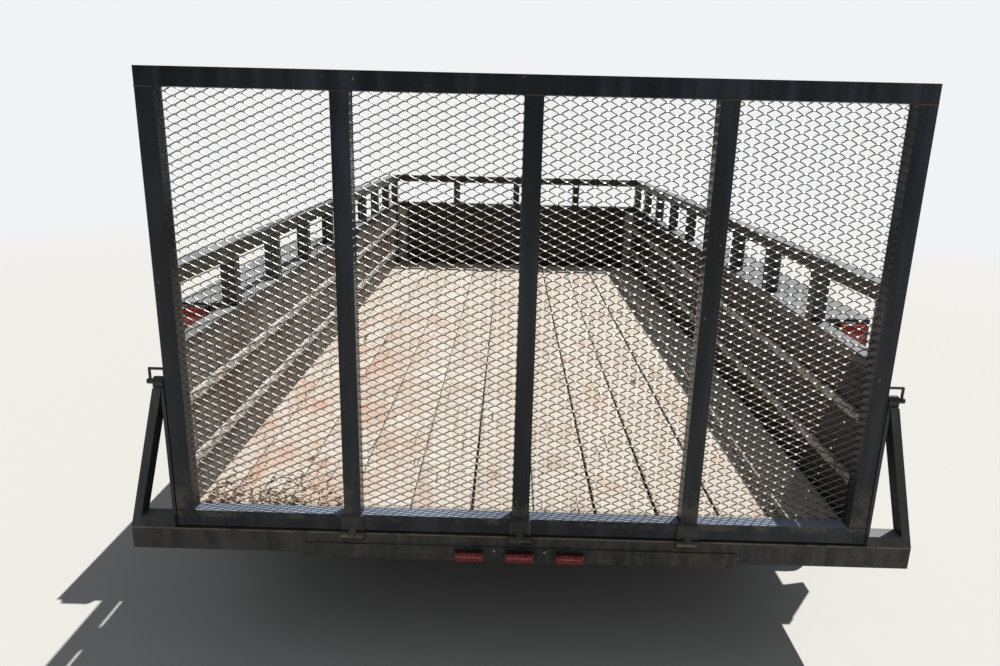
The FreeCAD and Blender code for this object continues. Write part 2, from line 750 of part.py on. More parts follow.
def hub(x, y, side):
    """Hub barrel on the spindle, with its flange, grease cap, studs and wheel nuts."""
    z = wheel_radius

    def along(offset):
        return Vector(x + side * offset, y, z)

    face = dish_offset
    seat = face - dish_thickness
    nose_face = face + hub_nose
    cap_face = nose_face + grease_cap_length
    cap = rod(grease_cap_radius, along(nose_face), along(cap_face))
    rim_edges = [e for e in cap.Edges if abs(e.BoundBox.Center.x - along(cap_face).x) < touch]
    parts = [rod(hub_barrel_radius, along(face - hub_barrel_length), along(nose_face)),
             rod(hub_flange_radius, along(seat - hub_flange_thickness), along(seat)),
             cap.makeFillet(grease_cap_round, rim_edges)]
    for py, pz in ring_of(stud_circle, lug_nut_count, y, z, 0.5):
        parts.append(rod(stud_radius, Vector(along(seat).x, py, pz), Vector(along(face).x, py, pz)))
        parts.append(hex_nut(along(face).x, py, pz, side))
    bore = rod(hub_bore_radius, along(face - hub_barrel_length), along(hub_bore_end))
    return fuse(parts).cut(bore)


def hex_nut(x, y, z, side):
    corners = [Vector(x, y + nut_radius * math.cos(a), z + nut_radius * math.sin(a))
               for a in (i * math.pi / 3 for i in range(6))]
    return plate(corners, Vector(side * nut_height, 0, 0))


def wheels():
    for row, offset in (("front", axle_spacing / 2), ("rear", -axle_spacing / 2)):
        y = axle_centre + offset
        save("axle_" + row, [axle(y)])
        for label, side in (("left", -1), ("right", 1)):
            x = side * tyre_middle_x
            save(f"tyre_{row}_{label}", [tyre(x, y)])
            save(f"rim_{row}_{label}", [rim(x, y, side)])
            save(f"hub_{row}_{label}", [hub(x, y, side)])


def fenders():
    """Square box fender over both wheels, with deep ends and a cut-away skirt."""
    top = planks_under + fender_top_above_planks
    y0 = gate_rear + fender_rear_from_gate
    y1 = axle_centre + axle_spacing / 2 + wheel_radius + fender_overhang
    x1 = tyre_outer_x + fender_margin
    low = top - fender_end_depth
    step = top - fender_skirt_depth
    cover = box(outer_x, x1, y0, y1, top - fender_wall, top)
    ends = [box(outer_x, x1, a, b, low, top) for a, b in ((y0, y0 + fender_wall), (y1 - fender_wall, y1))]
    outline = ((y0, low), (y0 + fender_skirt_foot, low), (y0 + fender_skirt_slope, step),
               (y1 - fender_skirt_slope, step), (y1 - fender_skirt_foot, low),
               (y1, low), (y1, top), (y0, top))
    skirt = plate([Vector(x1 - fender_wall, y, z) for y, z in outline], Vector(fender_wall, 0, 0))
    save_sides("fender", [fuse([cover, skirt] + ends)])
    lamp_x1 = x1 - tail_lamp_inset
    lamp_z1 = top - tail_lamp_inset
    lamp = box(lamp_x1 - tail_lamp_width, lamp_x1, y0 - tail_lamp_depth, y0,
               lamp_z1 - tail_lamp_height, lamp_z1)
    save("tail_lamps", both_sides([lamp]))


def rail_inner_x(y):
    """Half the gap between the tongue rails at y."""
    return tongue_rail_gap + (nose - apex_behind_nose - y) * math.tan(math.radians(tongue_half_angle))


def tongue():
    """Two converging channels under the nose, with the coupler at their meeting point."""
    angle = math.radians(tongue_half_angle)
    apex_y = nose - apex_behind_nose
    run = Vector(-math.sin(angle), math.cos(angle), 0)
    out = Vector(math.cos(angle), math.sin(angle), 0)
    tip = Vector(tongue_rail_gap, apex_y, 0)
    length = (apex_y - frame_front) / math.cos(angle) + 2 * tongue_rail_width
    start = tip - run * length
    w, t = tongue_rail_width, rail_wall
    z0, z1 = rail_bottom, planks_under
    section = [(0, z0), (w, z0), (w, z1), (0, z1), (0, z1 - t), (w - t, z1 - t), (w - t, z0 + t), (0, z0 + t)]
    points = [start + out * u + UP * z for u, z in section]
    beam = plate(points, run * (length + w))
    room = box(tongue_rail_gap / 2, 2 * sheet_x, frame_front, apex_y, z0, z1)
    save("tongue_rails", both_sides([beam.common(room)]))


def coupler():
    """A-frame coupler: plate over the rails, open neck, domed ball housing and latch ears."""
    z1 = planks_under + coupler_wall
    z0 = z1 - coupler_height
    half = coupler_width / 2
    rear_y = nose - coupler_length
    shoulder = nose - coupler_neck
    ball_y = nose - half
    rear_half = half + (shoulder - rear_y) * math.tan(math.radians(tongue_half_angle))
    outline = [(-rear_half, rear_y), (rear_half, rear_y), (half, shoulder), (half, ball_y),
               (-half, ball_y), (-half, shoulder)]
    head = rod(half, Vector(0, ball_y, z0), Vector(0, ball_y, z1))
    body = fuse([plate([Vector(x, y, z0) for x, y in outline], UP * coupler_height), head])
    upper_rim = [e for e in body.Edges if e.BoundBox.ZMin > z1 - touch and e.BoundBox.YMax > shoulder + touch]
    body = body.makeFillet(coupler_round, upper_rim)
    dome_radius = (coupler_dome_radius ** 2 + coupler_dome_rise ** 2) / (2 * coupler_dome_rise)
    dome = Part.makeSphere(dome_radius, Vector(0, ball_y, z1 + coupler_dome_rise - dome_radius))
    dome = dome.common(box(-half, half, ball_y - half, nose, z1 - coupler_wall, z1 + coupler_dome_rise))
    inner = half - coupler_wall
    flare = rear_half + coupler_wall
    socket_rear = ball_y - ball_radius - socket_housing
    hollow = [(-flare, rear_y - 1), (flare, rear_y - 1), (inner, shoulder), (inner, socket_rear),
              (-inner, socket_rear), (-inner, shoulder)]
    under = plate([Vector(x, y, z0 - 1) for x, y in hollow], UP * (coupler_height + 1 - coupler_wall))
    socket = rod(ball_radius + ball_clearance, Vector(0, ball_y, z0 - 1),
                 Vector(0, ball_y, z0 + socket_depth))
    pivot_y = nose - latch_setback
    pivot_z = z1 + latch_ear_height / 2
    ear_x = latch_width / 2 + pin_clearance
    ears = both_sides([box(ear_x, ear_x + latch_ear, pivot_y - latch_ear_length / 2,
                           pivot_y + latch_ear_length / 2, z1 - coupler_wall / 2, z1 + latch_ear_height)])
    pivot_half = ear_x + latch_ear
    bore = cross_pin(0, pivot_y, pivot_z, pivot_half + 1, latch_pivot_radius + pin_clearance)
    save("coupler", [fuse([body, dome] + ears).cut(under).cut(socket).cut(bore)])
    save("coupler_lever", [latch_lever(pivot_y, pivot_z, z1 + pin_clearance, pivot_half)])


def latch_lever(pivot_y, pivot_z, seat_z, pivot_half):
    """Lever that pivots between the ears and lies back over the tongue."""
    front = pivot_y + latch_ear_length / 2
    rear = front - latch_lever_length
    top = seat_z + latch_ear_height
    outline = [(front, seat_z), (front, top - latch_lever_thickness), (pivot_y, top),
               (rear, top + latch_lever_rise), (rear - latch_lever_thickness / 2, top + latch_lever_rise / 2),
               (pivot_y - latch_ear_length / 2, top - latch_lever_thickness),
               (pivot_y - latch_ear_length / 2, seat_z)]
    lever = plate([Vector(-latch_width / 2, y, z) for y, z in outline], Vector(latch_width, 0, 0))
    return fuse([lever, cross_pin(0, pivot_y, pivot_z, pivot_half + latch_ear / 2, latch_pivot_radius)])


def jack():
    """Crank jack through a plate on the tongue; its leg slides in the housing."""
    y = nose - jack_set_back
    top = planks_under + jack_housing_above
    bottom = rail_bottom - jack_housing_below
    plate_top = planks_under + jack_plate_thickness
    slide = jack_leg_radius + jack_slide_clearance
    housing = rod(jack_housing_radius, Vector(0, y, bottom), Vector(0, y, top))
    ends = (y - jack_plate_half_length, y + jack_plate_half_length)
    rail_across = tongue_rail_width / math.cos(math.radians(tongue_half_angle))
    halves = [rail_inner_x(end) + rail_across - jack_plate_edge for end in ends]
    corners = [(-halves[0], ends[0]), (halves[0], ends[0]), (halves[1], ends[1]), (-halves[1], ends[1])]
    bearer = plate([Vector(px, py, planks_under) for px, py in corners], UP * jack_plate_thickness)
    collar = rod(jack_collar_radius, Vector(0, y, plate_top), Vector(0, y, plate_top + jack_collar_height))
    head = rod(jack_head_radius, Vector(0, y, top - jack_head_height), Vector(0, y, top))
    head = head.makeFillet(jack_head_round, [e for e in head.Edges if e.BoundBox.ZMin > top - touch])
    shaft_z = top - jack_head_height / 2
    boss_end = jack_head_radius + jack_boss_length
    boss = rod(jack_boss_radius, Vector(0, y, shaft_z), Vector(boss_end, y, shaft_z))
    bore = rod(slide, Vector(0, y, bottom - 1), Vector(0, y, top - jack_head_height - jack_top_wall))
    save("jack_housing", [fuse([housing, bearer, collar, head, boss]).cut(bore)])
    leg = rod(jack_leg_radius, Vector(0, y, jack_foot_thickness), Vector(0, y, bottom + jack_leg_overlap))
    foot = rod(jack_foot_radius, Vector(0, y, 0), Vector(0, y, jack_foot_thickness))
    save("jack_leg", [fuse([leg, foot])])
    arm_x = boss_end + jack_crank_offset
    grip_x = arm_x + jack_crank_thickness
    grip_y = y - jack_crank_reach
    half_bar = jack_crank_bar / 2
    shaft = rod(jack_crank_shaft_radius, Vector(boss_end, y, shaft_z), Vector(arm_x, y, shaft_z))
    arm = box(arm_x, grip_x, grip_y - half_bar, y + half_bar, shaft_z - half_bar, shaft_z + half_bar)
    grip = rod(jack_grip_radius, Vector(grip_x, grip_y, shaft_z),
               Vector(grip_x + jack_grip_length, grip_y, shaft_z))
    save("jack_crank", [fuse([shaft, arm, grip])])


def link(centre, along, flat):
    """One chain link: a racetrack ring lying in the plane of along and flat."""
    normal = along.cross(flat)
    half_run = (chain_link_length - chain_link_width) / 2
    rings = []
    for radius in (chain_link_width / 2, chain_link_width / 2 - chain_wire):
        corners = []
        for end, first in ((1, -90), (-1, 90)):
            for turn in range(first, first + 181, chain_facet_angle):
                a = math.radians(turn)
                corner = along * (end * half_run + radius * math.cos(a)) + flat * (radius * math.sin(a))
                corners.append(corner)
        corners = [centre + c - normal * (chain_wire / 2) for c in corners]
        rings.append(Part.makePolygon(corners + [corners[0]]))
    return pierced(rings).extrude(normal * chain_wire)


def chains():
    """Safety chain on each tongue rail, hung up in a slack loop under it."""
    angle = math.radians(tongue_half_angle)
    run = Vector(math.sin(angle), -math.cos(angle), 0)
    out = Vector(math.cos(angle), math.sin(angle), 0)
    start_y = nose - chain_start
    start = Vector(rail_inner_x(start_y) + chain_beside_rail, start_y, rail_bottom)
    marks = [start]
    travelled = 0.0
    previous = start
    samples = 400
    for i in range(1, samples + 1):
        share = i / samples
        point = start + run * (chain_span * share) - UP * (chain_sag * 4 * share * (1 - share))
        travelled += (point - previous).Length
        previous = point
        if travelled >= chain_pitch:
            marks.append(point)
            travelled -= chain_pitch
    links = []
    for i, (a, b) in enumerate(zip(marks, marks[1:])):
        along = (b - a).normalize()
        side = out if i % 2 else along.cross(out).normalize()
        links.append(link((a + b) * 0.5, along, side))
    lift = rail_bottom - max(shape.BoundBox.ZMax for shape in links)
    save("safety_chains", both_sides([shape.translated(UP * lift) for shape in links]))


chassis()
deck()
side_walls()
front_wall()
ramp_gate()
gate_braces()
rear_lamps()
suspension()
wheels()
fenders()
tongue()
coupler()
jack()
chains()

os.makedirs("parts", exist_ok=True)
for name, shapes in nodes.items():
    solids = [s for shape in shapes for s in shape.Solids]
    shape = solids[0] if len(solids) == 1 else Part.makeCompound(solids)
    if not shape.isValid():
        print("not valid:", name)
    shape.exportStep(f"parts/{name}.step")
print(len(nodes), "nodes,", sum(len(s) for s in nodes.values()), "pieces, overall length", overall_length)
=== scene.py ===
"""Utility trailer: detail pieces, materials, light and camera, in metres.

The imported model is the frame. +Y points forward to the coupler, +X to the
right seen from behind, and +Z up. Sizes without a source in the frame are
named at the top.
"""
import math
import random

import bpy
from mathutils import Matrix, Vector, noise


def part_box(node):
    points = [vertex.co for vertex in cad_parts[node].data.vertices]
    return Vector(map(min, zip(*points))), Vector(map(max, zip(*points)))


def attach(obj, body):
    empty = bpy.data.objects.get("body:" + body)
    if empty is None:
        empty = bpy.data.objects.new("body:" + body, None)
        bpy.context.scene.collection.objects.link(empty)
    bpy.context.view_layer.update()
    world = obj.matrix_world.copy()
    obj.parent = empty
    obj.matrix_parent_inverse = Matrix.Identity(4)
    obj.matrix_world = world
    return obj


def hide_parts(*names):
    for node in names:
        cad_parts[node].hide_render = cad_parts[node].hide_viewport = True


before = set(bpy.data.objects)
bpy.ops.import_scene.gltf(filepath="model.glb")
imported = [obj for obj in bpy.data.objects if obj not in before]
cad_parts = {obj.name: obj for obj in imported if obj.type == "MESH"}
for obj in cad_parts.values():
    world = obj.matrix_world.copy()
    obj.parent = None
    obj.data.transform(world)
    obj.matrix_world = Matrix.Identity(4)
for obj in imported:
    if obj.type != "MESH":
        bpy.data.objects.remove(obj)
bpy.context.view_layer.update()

rng = random.Random(11)
bpy.context.scene.view_settings.view_transform = "Standard"

# Expanded metal
diamond_long = 0.0508
diamond_short = 0.0234
strand_width = 0.0030
strand_thickness = 0.0028
strand_tilt = math.radians(57)
strand_wave = 0.0006
bond_length = 0.0065

# Rounded corners
tube_corner = 0.004
sheet_corner = 0.0012
panel_corner = 0.004
latch_corner = 0.0008
coupler_corner = 0.004
axle_corner = 0.0015

# Welds
bead_radius = 0.0032
bead_ripple = 0.0045
bead_scatter = 0.0004
tack_length = 0.016
tacks_on_upright = 9
stitch_length = 0.06
stitches_on_fender = 9
tongue_seam_insets = (0.002, 0.051)

# Deck: seams from the left, each with its gap at the rear and at the front
tight_seam = (0.0016, 0.0012)
open_seams = {
    5: (0.0070, 0.0008),
    7: (0.0062, 0.0050),
    8: (0.0080, 0.0022),
    9: (0.0075, 0.0070),
}
board_round = 0.0045
board_step = 0.045
board_wear = 0.0021
board_shares = (0.0, 0.006, 0.024, 0.12, 0.25, 0.38, 0.5, 0.62, 0.75, 0.88, 0.976, 0.994, 1.0)
screw_radius = 0.0056
screw_inset = 0.034
end_beam_inset = 0.022

# Leaves in the left rear corner of the deck
leaf_count = 210
litter_width = 0.42
litter_length = 0.22

# Lamps: bases, and lenses set in from them
lens_rib_pitch = 0.0085
lens_rib_height = 0.0012
id_base_depth = 0.007
id_lens_gap = 0.006
id_corner = 0.006
id_rim = 0.003
tail_base_depth = 0.014
tail_lens_gap = 0.012
tail_corner = 0.012
tail_border = 0.006
tail_rim = 0.005

# Bolts
bolt_across = 0.019
bolt_inset = 0.019
washer_thickness = 0.0018
tongue_half_angle = math.radians(25)
bearer_thickness = 0.010
crank_bolt_across = 0.016
crank_hub_length = 0.032
crank_depth = 0.029

# Tyres and valves
rim_lip = 0.0086
bead_depth = 0.0116
tread_share = 0.74
groove_shares = (0.62, 0.21)
groove_width = 0.009
groove_depth = 0.009
cut_depth = groove_depth * 0.8
tread_blocks = 64
valve_radius = 0.176
valve_inset = 0.052
valve_reach = 0.036
valve_lean = 0.012

# Chains
chain_wire_radius = 0.0035

# Camera, fitted to the photograph
focal_pixels = 743.4
image_width = 1000
camera_place = Vector((-0.0572, -4.7829, 1.639))
camera_right = Vector((0.99963, 0.01451, 0.02292))
camera_up = Vector((-0.02596, 0.26627, 0.96355))

# Light
toward_sun = Vector((0.33, 0.44, 1.0))
sun_strength = 3.9
sun_spread = math.radians(0.53)
sun_colour = (1.0, 0.965, 0.92)
ambient_strength = 0.185
ambient_colour = (0.93, 0.97, 1.0)
backdrop_colour = (0.88, 0.89, 0.90)


class Shape:
    """Collects the points and faces of one piece."""

    def __init__(self):
        self.points = []
        self.faces = []
        self.tones = []

    def add(self, points, faces, tone=0.5):
        """Adds points and faces; the tone varies the colour in some materials."""
        base = len(self.points)
        self.points += [Vector(p) for p in points]
        self.tones += [tone] * len(points)
        self.faces += [tuple(base + i for i in face) for face in faces]

    def rings(self, rings, closed=False, capped=True, tone=0.5):
        """Skins a list of equally long rings of points."""
        count = len(rings[0])
        points = [p for ring in rings for p in ring]
        faces = []
        spans = len(rings) if closed else len(rings) - 1
        for i in range(spans):
            a, b = i * count, (i + 1) % len(rings) * count
            faces += [(a + j, a + (j + 1) % count, b + (j + 1) % count, b + j)
                      for j in range(count)]
        if capped and not closed:
            faces.append(tuple(reversed(range(count))))
            faces.append(tuple((len(rings) - 1) * count + j for j in range(count)))
        self.add(points, faces, tone)

    def tube(self, path, radius, sides=8, closed=False, tone=0.5):
        """Round wire along a path; radius is a number or one number for each point."""
        radii = radius if isinstance(radius, list) else [radius] * len(path)
        rings = []
        across = None
        for i, point in enumerate(path):
            before = path[i - 1] if i or closed else point
            after = path[(i + 1) % len(path)] if i + 1 < len(path) or closed else point
            along = (after - before).normalized()
            if across is None:
                across = along.orthogonal().normalized()
            across = (across - along * across.dot(along)).normalized()
            other = along.cross(across)
            rings.append([point + (across * math.cos(a) + other * math.sin(a)) * radii[i]
                          for a in (2 * math.pi * j / sides for j in range(sides))])
        self.rings(rings, closed, not closed, tone)

    def lathe(self, profile, centre, axis, segments, tone=0.5):
        """Turns a profile of (along the axis, out from it) pairs round a centre line."""
        axis = axis.normalized()
        across = axis.orthogonal().normalized()
        other = axis.cross(across)
        rings = []
        for i in range(segments):
            turn = 2 * math.pi * i / segments
            out = across * math.cos(turn) + other * math.sin(turn)
            rings.append([centre + axis * a + out * r for a, r in profile])
        self.rings(rings, True, False, tone)

    def make(self, name, material, body, smooth=False):
        """Makes the piece, which rides on a body and fills a material slot."""
        mesh = bpy.data.meshes.new(name)
        mesh.from_pydata(self.points, [], self.faces)
        tones = mesh.attributes.new("tone", "FLOAT", "POINT")
        tones.data.foreach_set("value", self.tones)
        mesh.polygons.foreach_set("use_smooth", [smooth] * len(mesh.polygons))
        mesh.update()
        piece = bpy.data.objects.new(name, mesh)
        bpy.context.scene.collection.objects.link(piece)
        mesh.materials.append(material)
        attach(piece, body)
        return piece


def round_corners(piece, width, segments=2):
    """Bevel that rounds a piece's sharp edges."""
    bevel = piece.modifiers.new("corners", "BEVEL")
    bevel.width = width
    bevel.segments = segments
    bevel.limit_method = "ANGLE"
    bevel.angle_limit = math.radians(35)
    bevel.harden_normals = True


def parts_of(node):
    """Low corner, high corner and points of each solid of a CAD node, sorted by place."""
    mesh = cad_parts[node].data
    group = list(range(len(mesh.vertices)))
    corner = {}
    for v in mesh.vertices:
        key = tuple(round(c, 5) for c in v.co)
        group[v.index] = corner.setdefault(key, v.index)

    def root(i):
        while group[i] != i:
            group[i] = group[group[i]]
            i = group[i]
        return i

    for a, b in (e.vertices for e in mesh.edges):
        group[root(a)] = root(b)
    members = {}
    for v in mesh.vertices:
        members.setdefault(root(v.index), []).append(v.co)
    solids = []
    for points in members.values():
        low = Vector(min(p[i] for p in points) for i in range(3))
        high = Vector(max(p[i] for p in points) for i in range(3))
        solids.append((low, high, points))
    return sorted(solids, key=lambda s: tuple(round(c, 3) for c in s[0]))


class Look:
    """A principled material and short calls for its nodes."""

    def __init__(self, name):
        self.material = bpy.data.materials.new(name)
        self.material.use_nodes = True
        self.tree = self.material.node_tree
        self.shader = self.tree.nodes["Principled BSDF"]
        coordinates = self.tree.nodes.new("ShaderNodeTexCoord")
        self.place = coordinates.outputs["Object"]
        self.normal = coordinates.outputs["Normal"]

    def node(self, kind, inputs=(), **settings):
        made = self.tree.nodes.new("ShaderNode" + kind)
        for name, value in settings.items():
            setattr(made, name, value)
        for name, value in dict(inputs).items():
            self.put(made.inputs[name], value)
        return made

    def put(self, socket, value):
        if isinstance(value, bpy.types.NodeSocket):
            self.tree.links.new(value, socket)
        elif socket.type == "RGBA":
            socket.default_value = (*value, 1.0)
        else:
            socket.default_value = value

    def set(self, **values):
        names = {"colour": "Base Color", "roughness": "Roughness", "metallic": "Metallic",
                 "coat": "Coat Weight", "coat_roughness": "Coat Roughness",
                 "specular": "Specular IOR Level", "normal": "Normal"}
        for name, value in values.items():
            self.put(self.shader.inputs[names[name]], value)

    def stretched(self, scale, place=None):
        inputs = {"Vector": place or self.place, "Scale": scale}
        return self.node("Mapping", inputs).outputs["Vector"]

    def noise(self, scale, detail=4.0, rough=0.55, place=None, distortion=0.0):
        inputs = {"Vector": place or self.place, "Scale": scale, "Detail": detail,
                  "Roughness": rough, "Distortion": distortion}
        return self.node("TexNoise", inputs).outputs["Fac"]

    def ramp(self, value, low, high, start=0.0, end=1.0):
        """Maps low..high to start..end, smoothly and held at both ends."""
        inputs = {"Value": value, "From Min": low, "From Max": high, "To Min": start, "To Max": end}
        return self.node("MapRange", inputs, interpolation_type="SMOOTHSTEP").outputs["Result"]

    def math(self, operation, a, b=0.0):
        made = self.node("Math", operation=operation)
        self.put(made.inputs[0], a)
        self.put(made.inputs[1], b)
        return made.outputs[0]

    def times(self, a, b):
        return self.math("MULTIPLY", a, b)

    def mix(self, factor, a, b):
        made = self.node("Mix", data_type="RGBA")
        self.put(made.inputs[0], factor)
        self.put(made.inputs[6], a)
        self.put(made.inputs[7], b)
        return made.outputs[2]

    def axis(self, vector, name):
        return self.node("SeparateXYZ", {"Vector": vector}).outputs[name]

    def blooms(self):
        """Patchy field in whose peaks rust breaks out."""
        return self.times(self.noise(7.0, 8.0, 0.68), self.noise(41.0, 4.0, 0.6))

    def bump(self, height, distance, strength=1.0, below=None):
        inputs = {"Height": height, "Distance": distance, "Strength": strength}
        if below:
            inputs["Normal"] = below
        return self.node("Bump", inputs).outputs["Normal"]


def painted_steel(name, colour, dust, rust_share, rust_colour=(0.115, 0.062, 0.04), gloss=0.38,
                  streak=0.5, specular=0.4, scuffs=None, run_scale=16.0, settled=(0.35, 0.85),
                  worn_edge=None):
    """Weathered enamel: dust on upward faces, which with the bluish dust colours is also a painted
    sky sheen, run-down streaks, rust blooms, nicks and scuffs.

    Scuffs are a band of height with its share; a worn edge is the height of a chafed, dusty rim.
    """
    look = Look(name)
    facing_up = look.ramp(look.axis(look.normal, "Z"), 0.25, 0.95)
    cloud = look.noise(3.1, 5.0)
    speckle = look.noise(95.0, 3.0)
    runs = look.noise(run_scale, 4.0, place=look.stretched((1.0, 1.0, 0.09)))
    film = look.times(look.ramp(runs, 0.42, 0.78), streak)
    # Upward faces take the dust colour: real dust, and where that colour is bluish, also a painted
    # sky sheen.
    dust_and_sky_sheen = look.times(facing_up, look.ramp(cloud, 0.25, 0.75, *settled))
    paint = look.mix(look.ramp(cloud, 0.3, 0.8), colour, tuple(c * 1.7 + 0.004 for c in colour))
    paint = look.mix(film, paint, tuple(0.4 * d + 0.2 * c for c, d in zip(colour, dust)))
    if scuffs:
        bottom, top, share = scuffs
        z = look.axis(look.place, "Z")
        band = look.times(look.ramp(z, top, top - 0.12), look.ramp(z, bottom - 0.01, bottom))
        rubbed = look.noise(12.0, 8.0, 0.72, look.stretched((1.0, 1.0, 0.8)))
        scuff = look.times(look.ramp(rubbed, 0.46, 0.60), look.times(band, share))
        bare = look.mix(speckle, (0.045, 0.042, 0.033), (0.14, 0.13, 0.11))
        paint = look.mix(scuff, paint, bare)
    if worn_edge:
        above = look.math("SUBTRACT", look.axis(look.place, "Z"), worn_edge)
        off_edge = look.math("ABSOLUTE", above)
        chafed = look.ramp(look.noise(9.0, 6.0, 0.7), 0.36, 0.52)
        rim = look.times(look.ramp(off_edge, 0.0050, 0.0022), chafed)
        paint = look.mix(rim, paint, look.mix(cloud, (0.17, 0.105, 0.065), (0.22, 0.205, 0.165)))
    paint = look.mix(dust_and_sky_sheen, paint, dust)
    edge = 0.42 - 0.22 * rust_share
    rusty = look.ramp(look.blooms(), edge, edge + 0.06)
    dark_rust = tuple(c * 0.55 for c in rust_colour)
    rust = look.mix(speckle, dark_rust, tuple(c * 1.5 for c in rust_colour))
    nick = look.ramp(look.noise(58.0, 2.0, 0.4), 0.79, 0.80)
    painted = look.mix(rusty, paint, rust)
    look.set(colour=look.mix(nick, painted, (0.23, 0.22, 0.20)))
    matt = look.math("MAXIMUM", dust_and_sky_sheen, rusty)
    clean_rough = look.ramp(speckle, 0.2, 0.8, gloss, gloss + 0.16)
    rough = look.node("Mix", {0: matt, 2: clean_rough, 3: 0.85}).outputs[0]
    look.set(roughness=rough, specular=specular)
    fine = look.bump(speckle, 0.0004, 0.5)
    look.set(normal=look.bump(rusty, 0.0005, 0.8, fine))
    return look.material


def panel_paint(rib_reach):
    """Wall sheets: streaked black outside; inside, scuffed grey-brown with pale, dusty ribs.

    Inside, the right and front walls are darkened to nearly black as painted shade; the left wall
    keeps the grey-brown and is the palest.
    """
    look = Look("panel_paint")
    x = look.axis(look.place, "X")
    y = look.axis(look.place, "Y")
    side = look.times(x, look.axis(look.normal, "X"))
    end = look.times(y, look.axis(look.normal, "Y"))
    outward = look.math("ADD", side, end)
    inside = look.ramp(outward, 0.3, -0.3)
    cloud = look.noise(2.6, 6.0, 0.62)
    speckle = look.noise(85.0, 4.0)
    runs = look.noise(15.0, 4.0, place=look.stretched((1.0, 1.0, 0.08)))
    scuff = look.noise(3.2, 7.0, 0.66, look.stretched((0.5, 0.35, 6.0)))
    streaks = look.ramp(runs, 0.45, 0.8, 0.0, 0.5)
    outer = look.mix(streaks, (0.019, 0.020, 0.021), (0.085, 0.085, 0.082))
    inner = look.mix(look.ramp(cloud, 0.3, 0.7), (0.100, 0.091, 0.085), (0.165, 0.156, 0.150))
    inner = look.mix(look.ramp(scuff, 0.50, 0.66, 0.0, 0.8), inner, (0.060, 0.037, 0.031))
    patches = look.ramp(look.noise(3.7, 6.0, 0.68), 0.53, 0.60, 0.0, 0.75)
    inner = look.mix(patches, inner, (0.062, 0.038, 0.031))
    chalk = look.ramp(look.noise(9.0, 6.0, 0.7), 0.55, 0.70, 0.0, 0.6)
    inner = look.mix(chalk, inner, (0.22, 0.212, 0.205))
    inner = look.mix(look.ramp(runs, 0.5, 0.8, 0.0, 0.45), inner, (0.050, 0.042, 0.038))
    # Painted shade: every inner face except the left wall's is pulled most of the way to
    # near-black.
    spared_from_painted_shade = look.times(look.ramp(x, 0.5, -0.5), look.ramp(y, 1.5, 1.4))
    inner = look.mix(spared_from_painted_shade, look.mix(0.88, inner, (0.012, 0.012, 0.014)), inner)
    paint = look.mix(inside, outer, inner)
    rusty = look.ramp(look.blooms(), 0.345, 0.40, 0.0, 0.85)
    paint = look.mix(rusty, paint, look.mix(speckle, (0.045, 0.026, 0.018), (0.115, 0.062, 0.042)))
    facing_up = look.ramp(look.axis(look.normal, "Z"), 0.25, 0.9)
    off_middle = look.math("ABSOLUTE", x)
    rib = look.times(look.ramp(off_middle, rib_reach + 0.001, rib_reach - 0.001), inside)
    on_side = look.times(rib, look.ramp(off_middle, 0.90, 0.95))
    pale = look.math("MAXIMUM", look.times(facing_up, 0.95), look.times(on_side, 0.62))
    pale = look.times(pale, look.ramp(look.noise(21.0, 7.0, 0.72), 0.40, 0.54, 0.22, 1.0))
    look.set(colour=look.mix(pale, paint, (0.74, 0.72, 0.68)))
    look.set(roughness=look.ramp(speckle, 0.2, 0.8, 0.45, 0.7), specular=0.25)
    look.set(normal=look.bump(rusty, 0.0005, 0.8, look.bump(scuff, 0.0008, 0.5)))
    return look.material


